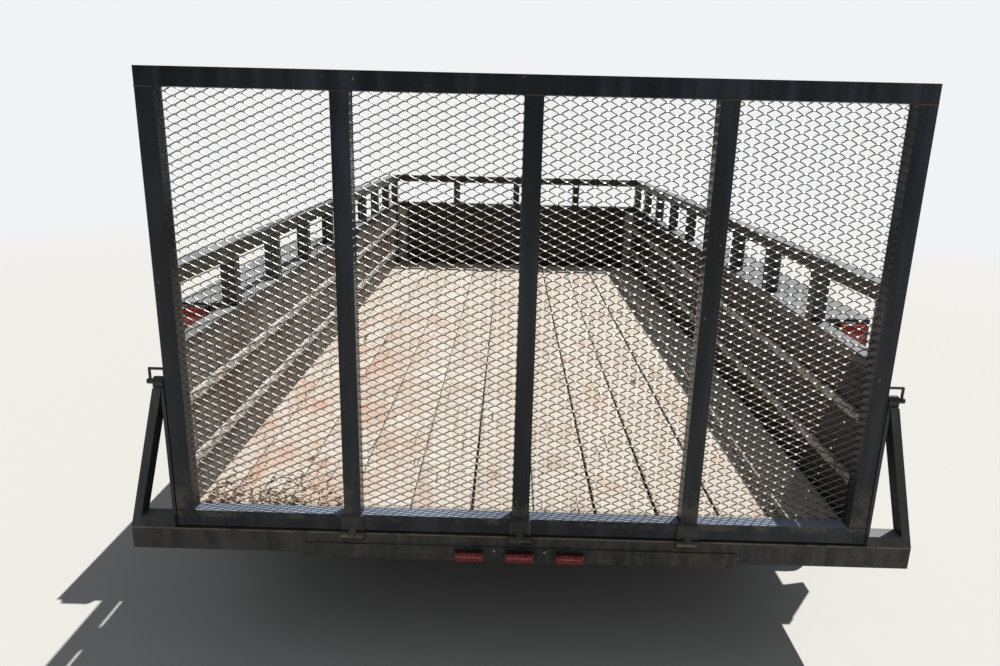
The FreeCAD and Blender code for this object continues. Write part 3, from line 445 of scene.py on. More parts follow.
def deck_wood():
    """Sun-bleached boards: long grain, checks, knots, stains, red dust toward the left rear, and
    sides darkened as painted shade.
    """
    look = Look("deck_wood")
    tone = look.node("Attribute", attribute_name="tone").outputs["Fac"]
    across = look.node("CombineXYZ", {"X": look.times(tone, 37.0), "Y": 0.0, "Z": 0.0})
    shift = look.node("VectorMath", {0: look.place, 1: across.outputs[0]}, operation="ADD")
    shifted = shift.outputs[0]
    grain = look.noise(9.0, 9.0, 0.62, look.stretched((9.0, 0.35, 9.0), shifted), 0.6)
    fibre = look.noise(60.0, 5.0, 0.6, look.stretched((7.0, 0.22, 7.0), shifted))
    cloud = look.noise(2.3, 5.0, 0.6, shifted)
    blotch = look.noise(6.5, 6.0, 0.65, look.stretched((1.0, 0.5, 1.0), shifted))
    pale = look.mix(tone, (0.69, 0.63, 0.55), (0.79, 0.76, 0.69))
    wood = look.mix(look.ramp(grain, 0.44, 0.74, 0.0, 0.8), pale, (0.47, 0.345, 0.27))
    wood = look.mix(look.ramp(cloud, 0.42, 0.72, 0.0, 0.6), wood, (0.82, 0.80, 0.74))
    x = look.axis(look.place, "X")
    y = look.axis(look.place, "Y")
    left_rear = look.times(look.ramp(x, -0.1, -0.85), look.ramp(y, 0.9, -2.2))
    red = look.times(look.ramp(blotch, 0.40, 0.66), look.math("ADD", left_rear, 0.14))
    stain = look.mix(fibre, (0.50, 0.235, 0.155), (0.78, 0.49, 0.37))
    wood = look.mix(look.times(red, 0.85), wood, stain)
    spotted = look.noise(8.5, 3.0, 0.5, look.stretched((1.0, 0.45, 1.0), shifted))
    spot_colour = look.mix(cloud, (0.76, 0.50, 0.40), (0.50, 0.47, 0.37))
    wood = look.mix(look.ramp(spotted, 0.57, 0.66, 0.0, 0.7), wood, spot_colour)
    greyed = look.noise(4.4, 6.0, 0.6, look.stretched((1.0, 0.4, 1.0)))
    wood = look.mix(look.ramp(greyed, 0.58, 0.80, 0.0, 0.5), wood, (0.42, 0.37, 0.33))
    split = look.noise(24.0, 3.0, 0.5, look.stretched((6.0, 0.16, 6.0), shifted))
    check = look.ramp(split, 0.665, 0.71)
    wood = look.mix(check, wood, (0.07, 0.05, 0.04))
    knot_place = look.stretched((5.2, 1.9, 5.2), shifted)
    knot = look.node("TexVoronoi", {"Vector": knot_place, "Scale": 1.0}).outputs["Distance"]
    wood = look.mix(look.ramp(knot, 0.09, 0.045), wood, (0.17, 0.09, 0.055))
    dark_fibre = look.times(look.ramp(fibre, 0.50, 0.80), 0.4)
    wood = look.mix(dark_fibre, wood, (0.34, 0.235, 0.18))
    # Painted shade: the boards' sides and undersides go near-black brown so the seams between them
    # read dark.
    facing_up = look.ramp(look.axis(look.normal, "Z"), -0.2, 0.6)
    look.set(colour=look.mix(facing_up, (0.06, 0.035, 0.026), wood))
    look.set(roughness=look.ramp(grain, 0.2, 0.8, 0.72, 0.92), specular=0.25)
    coarse = look.bump(grain, 0.0016, 0.7)
    cut = look.bump(look.math("SUBTRACT", 1.0, check), 0.0022, 0.9, coarse)
    look.set(normal=look.bump(fibre, 0.0006, 0.6, cut))
    return look.material


def mesh_steel():
    """Strands of dull worn steel on their upward faces and near-black paint on the others: partly
    wear, partly painted shade on the faces the sun misses.
    """
    look = Look("mesh_steel")
    wear = look.noise(13.0, 5.0, 0.6)
    fine = look.noise(240.0, 2.0)
    # Painted shade: faces that do not look up keep near-black paint, and upward faces turn to
    # bright worn steel.
    facing_up = look.ramp(look.axis(look.normal, "Z"), 0.05, 0.35)
    worn_top_vs_painted_shade = look.times(facing_up, look.ramp(wear, 0.30, 0.52, 0.75, 1.0))
    paint = look.mix(look.ramp(fine, 0.3, 0.7), (0.006, 0.004, 0.0035), (0.020, 0.014, 0.012))
    steel = look.mix(look.ramp(fine, 0.3, 0.7), (0.46, 0.42, 0.37), (0.58, 0.55, 0.505))
    rust = look.times(look.ramp(look.noise(5.0, 7.0, 0.7), 0.56, 0.72), 0.6)
    bare = look.times(worn_top_vs_painted_shade, look.math("SUBTRACT", 1.0, rust))
    look.set(colour=look.mix(rust, look.mix(worn_top_vs_painted_shade, paint, steel), (0.16, 0.085, 0.06)))
    look.set(metallic=look.times(bare, 0.7), specular=0.25)
    look.set(roughness=look.ramp(fine, 0.2, 0.8, 0.45, 0.55))
    look.set(normal=look.bump(fine, 0.0002, 0.5))
    return look.material


def bare_metal(name, colour, rough, metallic=0.9, stain_edge=0.62):
    """Plated or bare steel with dull clouds and stains."""
    look = Look(name)
    cloud = look.noise(22.0, 6.0, 0.6)
    fine = look.noise(310.0, 3.0)
    stained = look.ramp(look.noise(15.0, 7.0, 0.68), stain_edge, stain_edge + 0.1)
    metal = look.mix(look.ramp(cloud, 0.3, 0.7), tuple(c * 0.72 for c in colour), colour)
    look.set(colour=look.mix(stained, metal, (0.14, 0.085, 0.05)))
    look.set(metallic=look.times(look.math("SUBTRACT", 1.0, stained), metallic))
    look.set(roughness=look.ramp(cloud, 0.2, 0.8, rough, rough + 0.22))
    look.set(normal=look.bump(fine, 0.0002, 0.5))
    return look.material


def tyre_rubber():
    """Dusty rubber, paler near the ground."""
    look = Look("tyre_rubber")
    cloud = look.noise(9.0, 6.0, 0.6)
    fine = look.noise(150.0, 4.0)
    rubber = look.mix(look.ramp(cloud, 0.35, 0.75), (0.018, 0.018, 0.018), (0.055, 0.051, 0.046))
    dust = look.ramp(look.axis(look.place, "Z"), 0.16, 0.0)
    look.set(colour=look.mix(look.times(dust, 0.6), rubber, (0.19, 0.165, 0.13)))
    look.set(roughness=look.ramp(fine, 0.2, 0.8, 0.62, 0.85), specular=0.35)
    look.set(normal=look.bump(fine, 0.0005, 0.5))
    return look.material


def red_lens(name, colour):
    """Sun-faded moulded lens over a pale reflector, with a fine inner facet pattern."""
    look = Look(name)
    facets = look.node("TexVoronoi", {"Vector": look.place, "Scale": 190.0}).outputs["Distance"]
    fade = look.noise(26.0, 4.0)
    bright = tuple(min(1.0, c * 1.5 + 0.03) for c in colour)
    lens = look.mix(look.ramp(facets, 0.15, 0.75), bright, tuple(c * 0.6 for c in colour))
    look.set(colour=look.mix(look.ramp(fade, 0.45, 0.8, 0.0, 0.4), lens, (0.42, 0.10, 0.09)))
    look.set(roughness=look.ramp(fade, 0.2, 0.8, 0.16, 0.34), coat=0.4, coat_roughness=0.15)
    look.set(normal=look.bump(facets, 0.0006, 0.35))
    return look.material


def litter_leaf():
    """Dry leaves, from straw to dark brown."""
    look = Look("litter_leaf")
    tone = look.node("Attribute", attribute_name="tone").outputs["Fac"]
    fine = look.noise(120.0, 4.0)
    leaf = look.mix(tone, (0.16, 0.085, 0.045), (0.44, 0.31, 0.17))
    look.set(colour=look.mix(look.ramp(fine, 0.4, 0.75), leaf, (0.12, 0.07, 0.04)), roughness=0.85)
    look.set(normal=look.bump(fine, 0.0006, 0.6))
    return look.material


def studio_floor(fade_start=3.6, fade_end=11.0):
    """Pale floor that keeps the shadow and meets the backdrop without an edge."""
    look = Look("studio_floor")
    grit = look.noise(14.0, 6.0)
    look.set(colour=look.mix(look.ramp(grit, 0.2, 0.8), (0.70, 0.695, 0.685), (0.715, 0.71, 0.70)))
    look.set(roughness=0.9, specular=0.2)
    distance = look.node("VectorMath", {0: look.place}, operation="LENGTH").outputs["Value"]
    fade = look.ramp(distance, fade_start, fade_end)
    rays = look.node("LightPath").outputs
    seen = look.math("MAXIMUM", rays["Is Camera Ray"], rays["Is Glossy Ray"])
    glow = look.node("Emission", {"Color": backdrop_colour, "Strength": 1.0})
    mixed = look.node("MixShader", {0: look.times(fade, seen)})
    look.tree.links.new(look.shader.outputs[0], mixed.inputs[1])
    look.tree.links.new(glow.outputs[0], mixed.inputs[2])
    look.tree.links.new(mixed.outputs[0], look.tree.nodes["Material Output"].inputs["Surface"])
    return look.material


def bead(shape, start, end, size=1.0):
    """Rippled weld bead from start to end."""
    run = end - start
    steps = max(4, 2 * round(run.length / bead_ripple))
    path = []
    radii = []
    for i in range(steps + 1):
        share = i / steps
        taper = min(1.0, 0.35 + 8 * min(share, 1 - share))
        swell = 1.0 if i % 2 else 0.8
        scatter = Vector(rng.uniform(-bead_scatter, bead_scatter) for _ in range(3))
        path.append(start + run * share + scatter)
        radii.append(bead_radius * size * taper * swell * rng.uniform(0.88, 1.14))
    shape.tube(path, radii, 6, tone=rng.random())


def bead_lines(shape, corners):
    """A bead between each corner and the next."""
    for start, end in zip(corners, corners[1:]):
        bead(shape, Vector(start), Vector(end))


def expanded_metal():
    """Zigzag strands, each bonded to the next, on the forward face of the gate's frame."""
    low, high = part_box("gate_mesh")
    row_height = diamond_short / 2
    lean = strand_width / 2 * math.sin(strand_tilt)
    rise = row_height / 2 - strand_width / 2 * math.cos(strand_tilt)
    half_depth = 2 * lean + strand_thickness / 2 * math.cos(strand_tilt)
    wide = Vector((0, math.sin(strand_tilt), math.cos(strand_tilt))) * (strand_width / 2)
    thick = Vector((0, math.cos(strand_tilt), -math.sin(strand_tilt))) * (strand_thickness / 2)
    section = (wide + thick, thick - wide, -wide - thick, wide - thick)
    columns = int((high.x - low.x) / diamond_long) + 2
    shape = Shape()
    for row in range(int((high.z - low.z) / row_height)):
        middle = low.z + (row + 0.5) * row_height
        start = low.x + (row % 2 - 1) * diamond_long / 2
        path = []
        for column in range(columns):
            for half, sign in ((0.0, -1), (0.5, 1)):
                x = start + (column + half) * diamond_long
                for end in (-1, 1):
                    place = x + end * bond_length / 2
                    if low.x <= place <= high.x:
                        wave = strand_wave * math.sin(5.1 * place + 3.0 * middle)
                        y = low.y + half_depth - sign * lean + wave
                        path.append(Vector((place, y, middle + sign * rise)))
        shape.rings([[p + s for s in section] for p in path], tone=rng.random())
    piece = shape.make("gate_expanded_metal", mesh_steel(), "ramp_gate")
    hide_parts("gate_mesh")


def gate_welds(material):
    """Beads where the bars and stiles meet the rails, and tacks along the mesh."""
    shape = Shape()
    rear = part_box("gate_bars")[0].y
    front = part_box("gate_bars")[1].y
    mesh_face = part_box("gate_mesh")[1].y
    half_tack = tack_length / 2
    for low, high, _ in parts_of("gate_bars") + parts_of("gate_stiles"):
        for z in (low.z, high.z):
            bead_lines(shape, [(low.x, front, z), (low.x, rear, z),
                               (high.x, rear, z), (high.x, front, z)])
        middle = (low.x + high.x) / 2
        for i in range(tacks_on_upright):
            z = low.z + (i + 0.5) * (high.z - low.z) / tacks_on_upright + rng.uniform(-0.02, 0.02)
            bead(shape, Vector((middle - half_tack, mesh_face, z)),
                 Vector((middle + half_tack, mesh_face, z)), 1.3)
    y = rear - 0.001
    for low, high, _ in parts_of("gate_hinges"):
        for x in (low.x, high.x):
            bead(shape, Vector((x, y, low.z + 0.016)), Vector((x, y, high.z)))
        bead(shape, Vector((low.x, y, high.z)), Vector((high.x, y, high.z)))
    shape.make("gate_weld_beads", material, "ramp_gate", smooth=True)


def frame_welds(material):
    """Beads at the ends of the posts, along the fenders and round the tongue."""
    shape = Shape()
    for side in ("left", "right"):
        for low, high, _ in parts_of("side_posts_" + side):
            for x in (low.x, high.x):
                for z in (low.z, high.z):
                    bead(shape, Vector((x, low.y, z)), Vector((x, high.y, z)))
        low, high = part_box("fender_" + side)
        inner = low.x if side == "right" else high.x
        for i in range(stitches_on_fender):
            y = low.y + (i + 0.3) * (high.y - low.y) / stitches_on_fender
            bead(shape, Vector((inner, y, high.z)), Vector((inner, y + stitch_length, high.z)), 1.2)
        low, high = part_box("top_rail_" + side)
        inner = high.x if side == "left" else low.x
        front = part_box("front_top_rail")[0].y
        bead(shape, Vector((inner, front, high.z)), Vector((inner, high.y, high.z)))
        bead(shape, Vector((inner, front, low.z)), Vector((inner, front, high.z)))
    for low, high, _ in parts_of("front_posts"):
        for y in (low.y, high.y):
            for z in (low.z, high.z):
                bead(shape, Vector((low.x, y, z)), Vector((high.x, y, z)))
    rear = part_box("rear_sill")[0].y
    for low, high, _ in parts_of("sill_hinges"):
        bead(shape, Vector((low.x, rear, low.z)), Vector((high.x, rear, low.z)))
    low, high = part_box("coupler")
    for side in (-1, 1):
        x = side * (high.x - 0.002)
        bead(shape, Vector((x, low.y, low.z + 0.004)), Vector((x, low.y, high.z - 0.03)), 1.3)
    low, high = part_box("tongue_rails")
    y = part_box("front_beam")[1].y
    for side in (-1, 1):
        for inset in tongue_seam_insets:
            x = side * (high.x - inset)
            bead(shape, Vector((x, y, low.z)), Vector((x, y, high.z)), 1.2)
    shape.make("frame_weld_beads", material, "chassis", smooth=True)


def seam_gap(seam, share):
    """Gap between two boards at a share of their length, counted from the rear."""
    rear, front = open_seams.get(seam, tight_seam)
    return rear + (front - rear) * min(1.0, 1.6 * share)


def edge_wear(seed, y, layer):
    """How far a board's edge is worn back at a place along it."""
    return 0.0005 + 0.0012 * abs(noise.noise(Vector((seed, y, layer))))


def board(shape, low, high, tone, seam, gap):
    """One weathered board: rounded edges, a slight cup, worn and wavy along its length.

    Its sides follow the seams to its left and right, on both sides of the solid's own gap.
    """
    width = high.x - low.x
    cup = rng.uniform(-0.0012, 0.0016)
    seed = rng.uniform(0, 60)
    drops = {0: board_round, 1: board_round * 0.35}
    start = low.y + rng.uniform(0.0, 0.003)
    end = high.y - rng.uniform(0.0, 0.003)
    count = round((end - start) / board_step)
    rings = []
    for i in range(count + 1):
        y = start + (end - start) * i / count
        left, right = [(seam_gap(s, i / count) - gap) / 2 for s in (seam, seam + 1)]
        left += edge_wear(seed, y * 9.1, 0)
        right += edge_wear(seed, y * 8.3, 5)
        offset = 0.0009 * noise.noise(Vector((seed, y * 1.3, 9)))
        ring = []
        for j, share in enumerate(board_shares):
            x = low.x + left + (width - left - right) * share
            drop = drops.get(min(j, len(board_shares) - 1 - j), 0.0)
            arch = cup * (1 - (2 * share - 1) ** 2)
            rough = 0.0007 * noise.noise(Vector((x * 34 + seed, y * 4.1, 0)))
            ring.append(Vector((x, y, high.z - board_wear - drop + arch + rough + offset)))
        ring.append(Vector((high.x - right, y, low.z)))
        ring.append(Vector((low.x + left, y, low.z)))
        rings.append(ring)
    shape.rings(rings, tone=tone)


def deck_boards():
    """The deck's boards, each in the place of its solid."""
    shape = Shape()
    boards = parts_of("deck_planks")
    gap = boards[1][0].x - boards[0][1].x
    for seam, (low, high, _) in enumerate(boards):
        board(shape, low, high, rng.random(), seam, gap)
    piece = shape.make("deck_boards", deck_wood(), "chassis", smooth=True)
    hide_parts("deck_planks")


def deck_screws(material):
    """Two domed screws through each board into every cross-member and both end beams."""
    shape = Shape()
    rows = [(low.y + high.y) / 2 for low, high, _ in parts_of("cross_members")]
    boards = parts_of("deck_planks")
    deck_low, deck_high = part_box("deck_planks")
    rows += [deck_low.y + end_beam_inset, deck_high.y - end_beam_inset]
    z = deck_high.z - 0.0022
    r = screw_radius
    profile = [(-0.004, 0.0), (-0.004, r), (0.0, r), (r * 0.22, r * 0.7), (r * 0.3, r * 0.34),
               (r * 0.05, r * 0.30), (r * 0.05, 0.0)]
    for row in rows:
        for low, high, _ in boards:
            inset = min(screw_inset, (high.x - low.x) / 3)
            for column in (low.x + inset, high.x - inset):
                x = column + rng.uniform(-0.004, 0.004)
                y = row + rng.uniform(-0.005, 0.005)
                lean = Vector((rng.uniform(-0.06, 0.06), rng.uniform(-0.06, 0.06), 1))
                shape.lathe(profile, Vector((x, y, z)), lean, 10, rng.random())
    shape.make("deck_screws", material, "chassis", smooth=True)


def leaf_litter():
    """Dry leaves caught against the left side at the rear of the deck."""
    shape = Shape()
    low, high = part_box("deck_planks")
    for _ in range(leaf_count):
        out = rng.random() ** 1.5
        x = low.x + 0.03 + litter_width * out
        y = low.y + 0.02 + litter_length * rng.random() ** 2.4
        turn = rng.uniform(0, math.pi)
        length = rng.uniform(0.012, 0.034)
        width = length * rng.uniform(0.22, 0.42)
        curl = length * rng.uniform(0.10, 0.35)
        along = Vector((math.cos(turn), math.sin(turn), rng.uniform(-0.12, 0.25)))
        across = Vector((-math.sin(turn), math.cos(turn), rng.uniform(-0.3, 0.3)))
        base = Vector((x, y, high.z + 0.001 + 0.006 * (1 - out) * rng.random()))
        lift = Vector((0, 0, width * 0.28))
        points = []
        for i, wide in enumerate((0.08, 0.75, 1.0, 0.6, 0.05)):
            share = i / 4 - 0.5
            bend = Vector((0, 0, curl * (2 * share) ** 2 + 0.0012))
            spine = base + along * (length * share) + bend
            points += [spine + across * (width * wide / 2) + lift * wide, spine,
                       spine - across * (width * wide / 2) + lift * wide]
        faces = [(3 * i + j, 3 * i + j + 1, 3 * i + j + 4, 3 * i + j + 3)
                 for i in range(4) for j in (0, 1)]
        shape.add(points, faces, rng.random())
    shape.make("leaf_litter", litter_leaf(), "chassis", smooth=True)


def rounded_outline(width, height, radius, y, centre, steps=5):
    """Rounded rectangle in the plane of the lamp's face, as points in order."""
    points = []
    for sx, sz, first in ((1, 1, 0), (-1, 1, 90), (-1, -1, 180), (1, -1, 270)):
        for i in range(steps + 1):
            a = math.radians(first + 90 * i / steps)
            x = centre.x + sx * (width / 2 - radius) + radius * math.cos(a)
            z = centre.z + sz * (height / 2 - radius) + radius * math.sin(a)
            points.append(Vector((x, y, z)))
    return points


def lamp_lens(shape, low, high, radius, rim):
    """Moulded lens with a rounded rim and a face of upright ribs."""
    centre = (low + high) / 2
    width = high.x - low.x
    height = high.z - low.z
    depth = high.y - low.y
    steps = ((0.0, 0.0), (0.0, depth * 0.82), (rim * 0.3, depth * 0.93),
             (rim * 0.9, depth - 0.0016), (rim, depth - 0.0022))
    rings = []
    for inset, out in steps:
        corner = max(radius - inset, 0.001)
        rings.append(rounded_outline(width - 2 * inset, height - 2 * inset, corner,
                                     high.y - out, centre))
    shape.rings(rings, tone=0.4)
    x0 = low.x + rim + radius * 0.3
    x1 = high.x - rim - radius * 0.3
    z0 = low.z + rim + 0.001
    z1 = high.z - rim - 0.001
    ribs = max(3, round((x1 - x0) / lens_rib_pitch))
    rings = []
    for i in range(ribs * 4 + 1):
        x = x0 + (x1 - x0) * i / (ribs * 4)
        out = low.y + 0.0012 - lens_rib_height * (0, 0.75, 1, 0.75)[i % 4]
        rings.append([Vector((x, low.y + 0.004, z0)), Vector((x, out, z0 + 0.0015)),
                      Vector((x, out, z1 - 0.0015)), Vector((x, low.y + 0.004, z1))])
    shape.rings(rings, tone=0.7)


def pan_screw(shape, place, axis, radius):
    """Pan-head screw with a recess in its head."""
    r = radius
    profile = [(-0.003, 0.0), (-0.003, r * 0.98), (0.0, r), (r * 0.35, r * 0.8),
               (r * 0.5, r * 0.42), (r * 0.18, r * 0.3), (r * 0.15, 0.0)]
    shape.lathe(profile, place, axis, 14, rng.random())


def lamps(plastic, steel):
    """Three identification lamps on the bar and a tail lamp on each fender."""
    rearward = Vector((0, -1, 0))
    lenses = Shape()
    bases = Shape()
    screws = Shape()
    id_lamps = parts_of("id_lamps")
    for low, high, _ in id_lamps:
        face = high.y
        lamp_lens(lenses, Vector((low.x + 0.003, low.y, low.z + 0.002)),
                  Vector((high.x - 0.003, face - id_lens_gap, high.z - 0.002)), id_corner, id_rim)
        bases.rings([rounded_outline(high.x - low.x, high.z - low.z, id_corner, y, (low + high) / 2)
                     for y in (face, face - id_base_depth)])
    bar_low, bar_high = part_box("lamp_bar")
    lamp_pitch = (id_lamps[1][0] - id_lamps[0][0]).length
    y = bar_low.y - 0.0005
    z = bar_high.z - 0.011
    for side in (-1, 1):
        pan_screw(screws, Vector((side * lamp_pitch / 2, y, z)), rearward, 0.0042)
        for share in (0.56, 0.94):
            pan_screw(bases, Vector((side * share * bar_high.x, y, z)), rearward, 0.0055)
    glass = red_lens("id_lens", (0.24, 0.012, 0.012))
    piece = lenses.make("id_lamp_lenses", glass, "chassis", True)
    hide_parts("id_lamps")
    tails = Shape()
    for low, high, _ in parts_of("tail_lamps"):
        centre = (low + high) / 2
        face = high.y
        steps = ((0.0, face), (0.0, face - tail_lens_gap), (0.003, face - tail_base_depth))
        bases.rings([rounded_outline(high.x - low.x - i, high.z - low.z - i, tail_corner, y, centre)
                     for i, y in steps])
        lamp_lens(tails, Vector((low.x + tail_border, low.y, low.z + tail_border)),
                  Vector((high.x - tail_border, face - tail_lens_gap, high.z - tail_border)),
                  0.010, tail_rim)
        for x in (low.x + 0.020, high.x - 0.020):
            pan_screw(screws, Vector((x, low.y + 0.0005, centre.z)), rearward, 0.0038)
    glass = red_lens("tail_lens", (0.42, 0.02, 0.02))
    piece = tails.make("tail_lamp_lenses", glass, "chassis", True)
    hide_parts("tail_lamps")
    bases.make("lamp_bases", plastic, "chassis")
    screws.make("lamp_screws", steel, "chassis", True)


def tyre_piece(name, node, body, material):
    """Tyre with stepped side walls, four grooves and cross cuts in the shoulder ribs."""
    low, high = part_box(node)
    centre = (low + high) / 2
    outer = (high.z - low.z) / 2
    half = (high.x - low.x) / 2
    rim_low, rim_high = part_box(node.replace("tyre", "rim"))
    flange = (rim_high.z - rim_low.z) / 2
    bead_half = (rim_high.x - rim_low.x) / 2 - rim_lip
    wall = [(bead_half, flange - bead_depth), (bead_half, flange + 0.001),
            (half * 0.90, flange + 0.010), (half * 0.955, flange + 0.028),
            (half * 0.975, flange + 0.031), (half * 0.985, flange + 0.048),
            (half, flange + 0.066), (half * 0.992, flange + 0.082),
            (half * 0.985, flange + 0.084), (half * 0.965, outer - 0.044),
            (half * 0.945, outer - 0.040), (half * 0.925, outer - 0.026),
            (half * 0.86, outer - 0.0125), (half * 0.79, outer - 0.0065)]
    tread_edge = half * tread_share
    tread = [(tread_edge, 0.003)]
    for share in groove_shares:
        g = tread_edge * share
        tread += [(g + groove_width / 2, 0.0), (g + groove_width / 2 - 0.001, groove_depth),
                  (g - groove_width / 2 + 0.001, groove_depth), (g - groove_width / 2, 0.0)]
    side = [(x, r, 0) for x, r in wall]
    side += [(x, outer - d, 1 if i < 2 else 0) for i, (x, d) in enumerate(tread)]
    profile = [(-x, r, cut) for x, r, cut in side] + [(x, r, cut) for x, r, cut in reversed(side)]
    shape = Shape()
    rings = []
    for block in range(tread_blocks):
        for step, depth in ((0.0, 0.0), (0.78, 0.0), (0.80, cut_depth), (0.98, cut_depth)):
            a = 2 * math.pi * (block + step) / tread_blocks
            ring = []
            for x, r, cut in profile:
                radius = r - depth * cut
                ring.append(centre + Vector((x, radius * math.sin(a), radius * math.cos(a))))
            rings.append(ring)
    shape.rings(rings, True, False)
    piece = shape.make(name, material, body, smooth=True)
    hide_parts(node)
    keep_edges(piece, 32)


def keep_edges(piece, degrees):
    """Smooth shading that keeps creases sharper than the angle."""
    mesh = piece.data
    limit = math.cos(math.radians(degrees))
    normals = [p.normal for p in mesh.polygons]
    beside = {}
    for polygon in mesh.polygons:
        for key in polygon.edge_keys:
            beside.setdefault(key, []).append(normals[polygon.index])
    for edge in mesh.edges:
        pair = beside.get(edge.key, ())
        edge.use_edge_sharp = len(pair) == 2 and pair[0].dot(pair[1]) < limit


def tyres_and_valves(rubber):
    """A full tyre and a valve on each wheel."""
    for row in ("front", "rear"):
        for label, side in (("left", -1), ("right", 1)):
            body = f"wheel_{row}_{label}"
            tyre_piece(f"tyre_dressed_{row}_{label}", f"tyre_{row}_{label}", body, rubber)
            low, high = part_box(f"rim_{row}_{label}")
            centre = (low + high) / 2
            edge = high.x if side > 0 else low.x
            a = rng.uniform(0, 2 * math.pi)
            out = Vector((0, math.sin(a), math.cos(a)))
            foot = Vector((edge - side * valve_inset, centre.y, centre.z)) + out * valve_radius
            tip = foot + Vector((side * valve_reach, 0, 0)) - out * valve_lean
            path = [foot, foot.lerp(tip, 0.5), foot.lerp(tip, 0.52), tip.lerp(foot, 0.02), tip]
            shape = Shape()
            shape.tube(path, [0.0058, 0.0048, 0.0036, 0.0036, 0.0028], 12)
            shape.make(f"valve_{row}_{label}", rubber, body, True)


def round_links(steel):
    """Safety chains of round wire, link for link where the solids are."""
    shape = Shape()
    for _, _, points in parts_of("safety_chains"):
        centre = sum(points, Vector()) / len(points)
        spread = [p - centre for p in points]
        far = max(spread, key=lambda p: p.length)
        along = long_axis(spread, far.normalized())
        crosswise = [p - along * p.dot(along) for p in spread]
        flat = long_axis(crosswise, along.orthogonal().normalized())
        half_length = max(abs(p.dot(along)) for p in spread) - chain_wire_radius
        half_width = max(abs(p.dot(flat)) for p in spread) - chain_wire_radius
        path = []
        for end, first in ((1, -90), (-1, 90)):
            for i in range(9):
                a = math.radians(first + i * 22.5)
                lengthwise = end * (half_length - half_width) + half_width * math.cos(a)
                path.append(centre + along * lengthwise + flat * (half_width * math.sin(a)))
        shape.tube(path, chain_wire_radius, 8, closed=True, tone=rng.random())
    piece = shape.make("chain_links", steel, "chassis", smooth=True)
    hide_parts("safety_chains")


def long_axis(points, guess):
    """Direction in which the points spread most, by repeated averaging."""
    axis = guess
    for _ in range(40):
        axis = sum((p * p.dot(axis) for p in points), Vector()).normalized()
    return axis


def hex_bolt(shape, place, axis, across):
    """Hexagon head with a chamfered crown, standing on a washer."""
    corner = across / math.sqrt(3)
    foot = washer_thickness
    washer = [(0.0, 0.0), (0.0, corner * 1.15), (foot, corner * 1.15), (foot, 0.0)]
    shape.lathe(washer, place, axis, 20)
    top = foot + across * 0.62
    head = [(foot, corner), (foot + across * 0.5, corner), (top, corner * 0.82), (top, 0.0)]
    shape.lathe(head, place, axis, 6)


def jack_bolts(steel):
    """Bolts through the bearer plate into both tongue rails, and one that holds the crank."""
    low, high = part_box("jack_housing")
    plate_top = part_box("tongue_rails")[1].z + bearer_thickness
    shape = Shape()
    for y in (low.y + bolt_inset, high.y - bolt_inset):
        x = high.x - bolt_inset - (y - low.y) * math.tan(tongue_half_angle)
        for side in (-1, 1):
            hex_bolt(shape, Vector((side * x, y, plate_top)), Vector((0, 0, 1)), bolt_across)
    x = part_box("jack_crank")[0].x + crank_hub_length
    crank = Vector((x, (low.y + high.y) / 2, high.z - crank_depth))
    hex_bolt(shape, crank, Vector((1, 0, 0)), crank_bolt_across)
    shape.make("jack_bolts", steel, "chassis")


def camera():
    """Camera at the photographer's place, with the fitted focal length."""
    data = bpy.data.cameras.new("camera")
    data.sensor_width = 36
    data.lens = focal_pixels / image_width * data.sensor_width
    data.clip_end = 200
    piece = bpy.data.objects.new("camera", data)
    bpy.context.scene.collection.objects.link(piece)
    back = camera_right.cross(camera_up)
    turn = Matrix((camera_right, camera_up, back)).transposed()
    piece.matrix_world = Matrix.Translation(camera_place) @ turn.to_4x4()
    bpy.context.scene.camera = piece


def lights():
    """One sun, in the direction of the shadows on the ground."""
    data = bpy.data.lights.new("key", "SUN")
    data.energy = sun_strength
    data.angle = sun_spread
    data.color = sun_colour
    key = bpy.data.objects.new("key", data)
    bpy.context.scene.collection.objects.link(key)
    key.rotation_mode = "QUATERNION"
    key.rotation_quaternion = toward_sun.to_track_quat("Z", "Y")


def backdrop():
    """World that lights evenly from above, seen as the pale backdrop."""
    world = bpy.data.worlds.new("studio")
    world.use_nodes = True
    bpy.context.scene.world = world
    tree = world.node_tree
    rays = tree.nodes.new("ShaderNodeLightPath")
    seen = tree.nodes.new("ShaderNodeMath")
    seen.operation = "MAXIMUM"
    tree.links.new(rays.outputs["Is Camera Ray"], seen.inputs[0])
    tree.links.new(rays.outputs["Is Transmission Ray"], seen.inputs[1])
    ambient = tree.nodes["Background"]
    ambient.inputs["Color"].default_value = (*ambient_colour, 1.0)
    ambient.inputs["Strength"].default_value = ambient_strength
    shown = tree.nodes.new("ShaderNodeBackground")
    shown.inputs["Color"].default_value = (*backdrop_colour, 1.0)
    mixed = tree.nodes.new("ShaderNodeMixShader")
    tree.links.new(seen.outputs[0], mixed.inputs[0])
    tree.links.new(ambient.outputs[0], mixed.inputs[1])
    tree.links.new(shown.outputs[0], mixed.inputs[2])
    tree.links.new(mixed.outputs[0], tree.nodes["World Output"].inputs["Surface"])


def floor(reach=40.0):
    """Flat ground under the tyres and the jack's foot."""
    corners = [(x * reach, y * reach, 0) for x, y in ((-1, -1), (1, -1), (1, 1), (-1, 1))]
    mesh = bpy.data.meshes.new("floor")
    mesh.from_pydata(corners, [], [(0, 1, 2, 3)])
    mesh.materials.append(studio_floor())
    piece = bpy.data.objects.new("floor", mesh)
    bpy.context.scene.collection.objects.link(piece)


def dress(material, corner, *names):
    """Gives CAD nodes their material and rounded corners."""
    for name in names:
        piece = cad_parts[name]
        piece.data.materials.clear()
        piece.data.materials.append(material)
        if corner:
            round_corners(piece, corner)
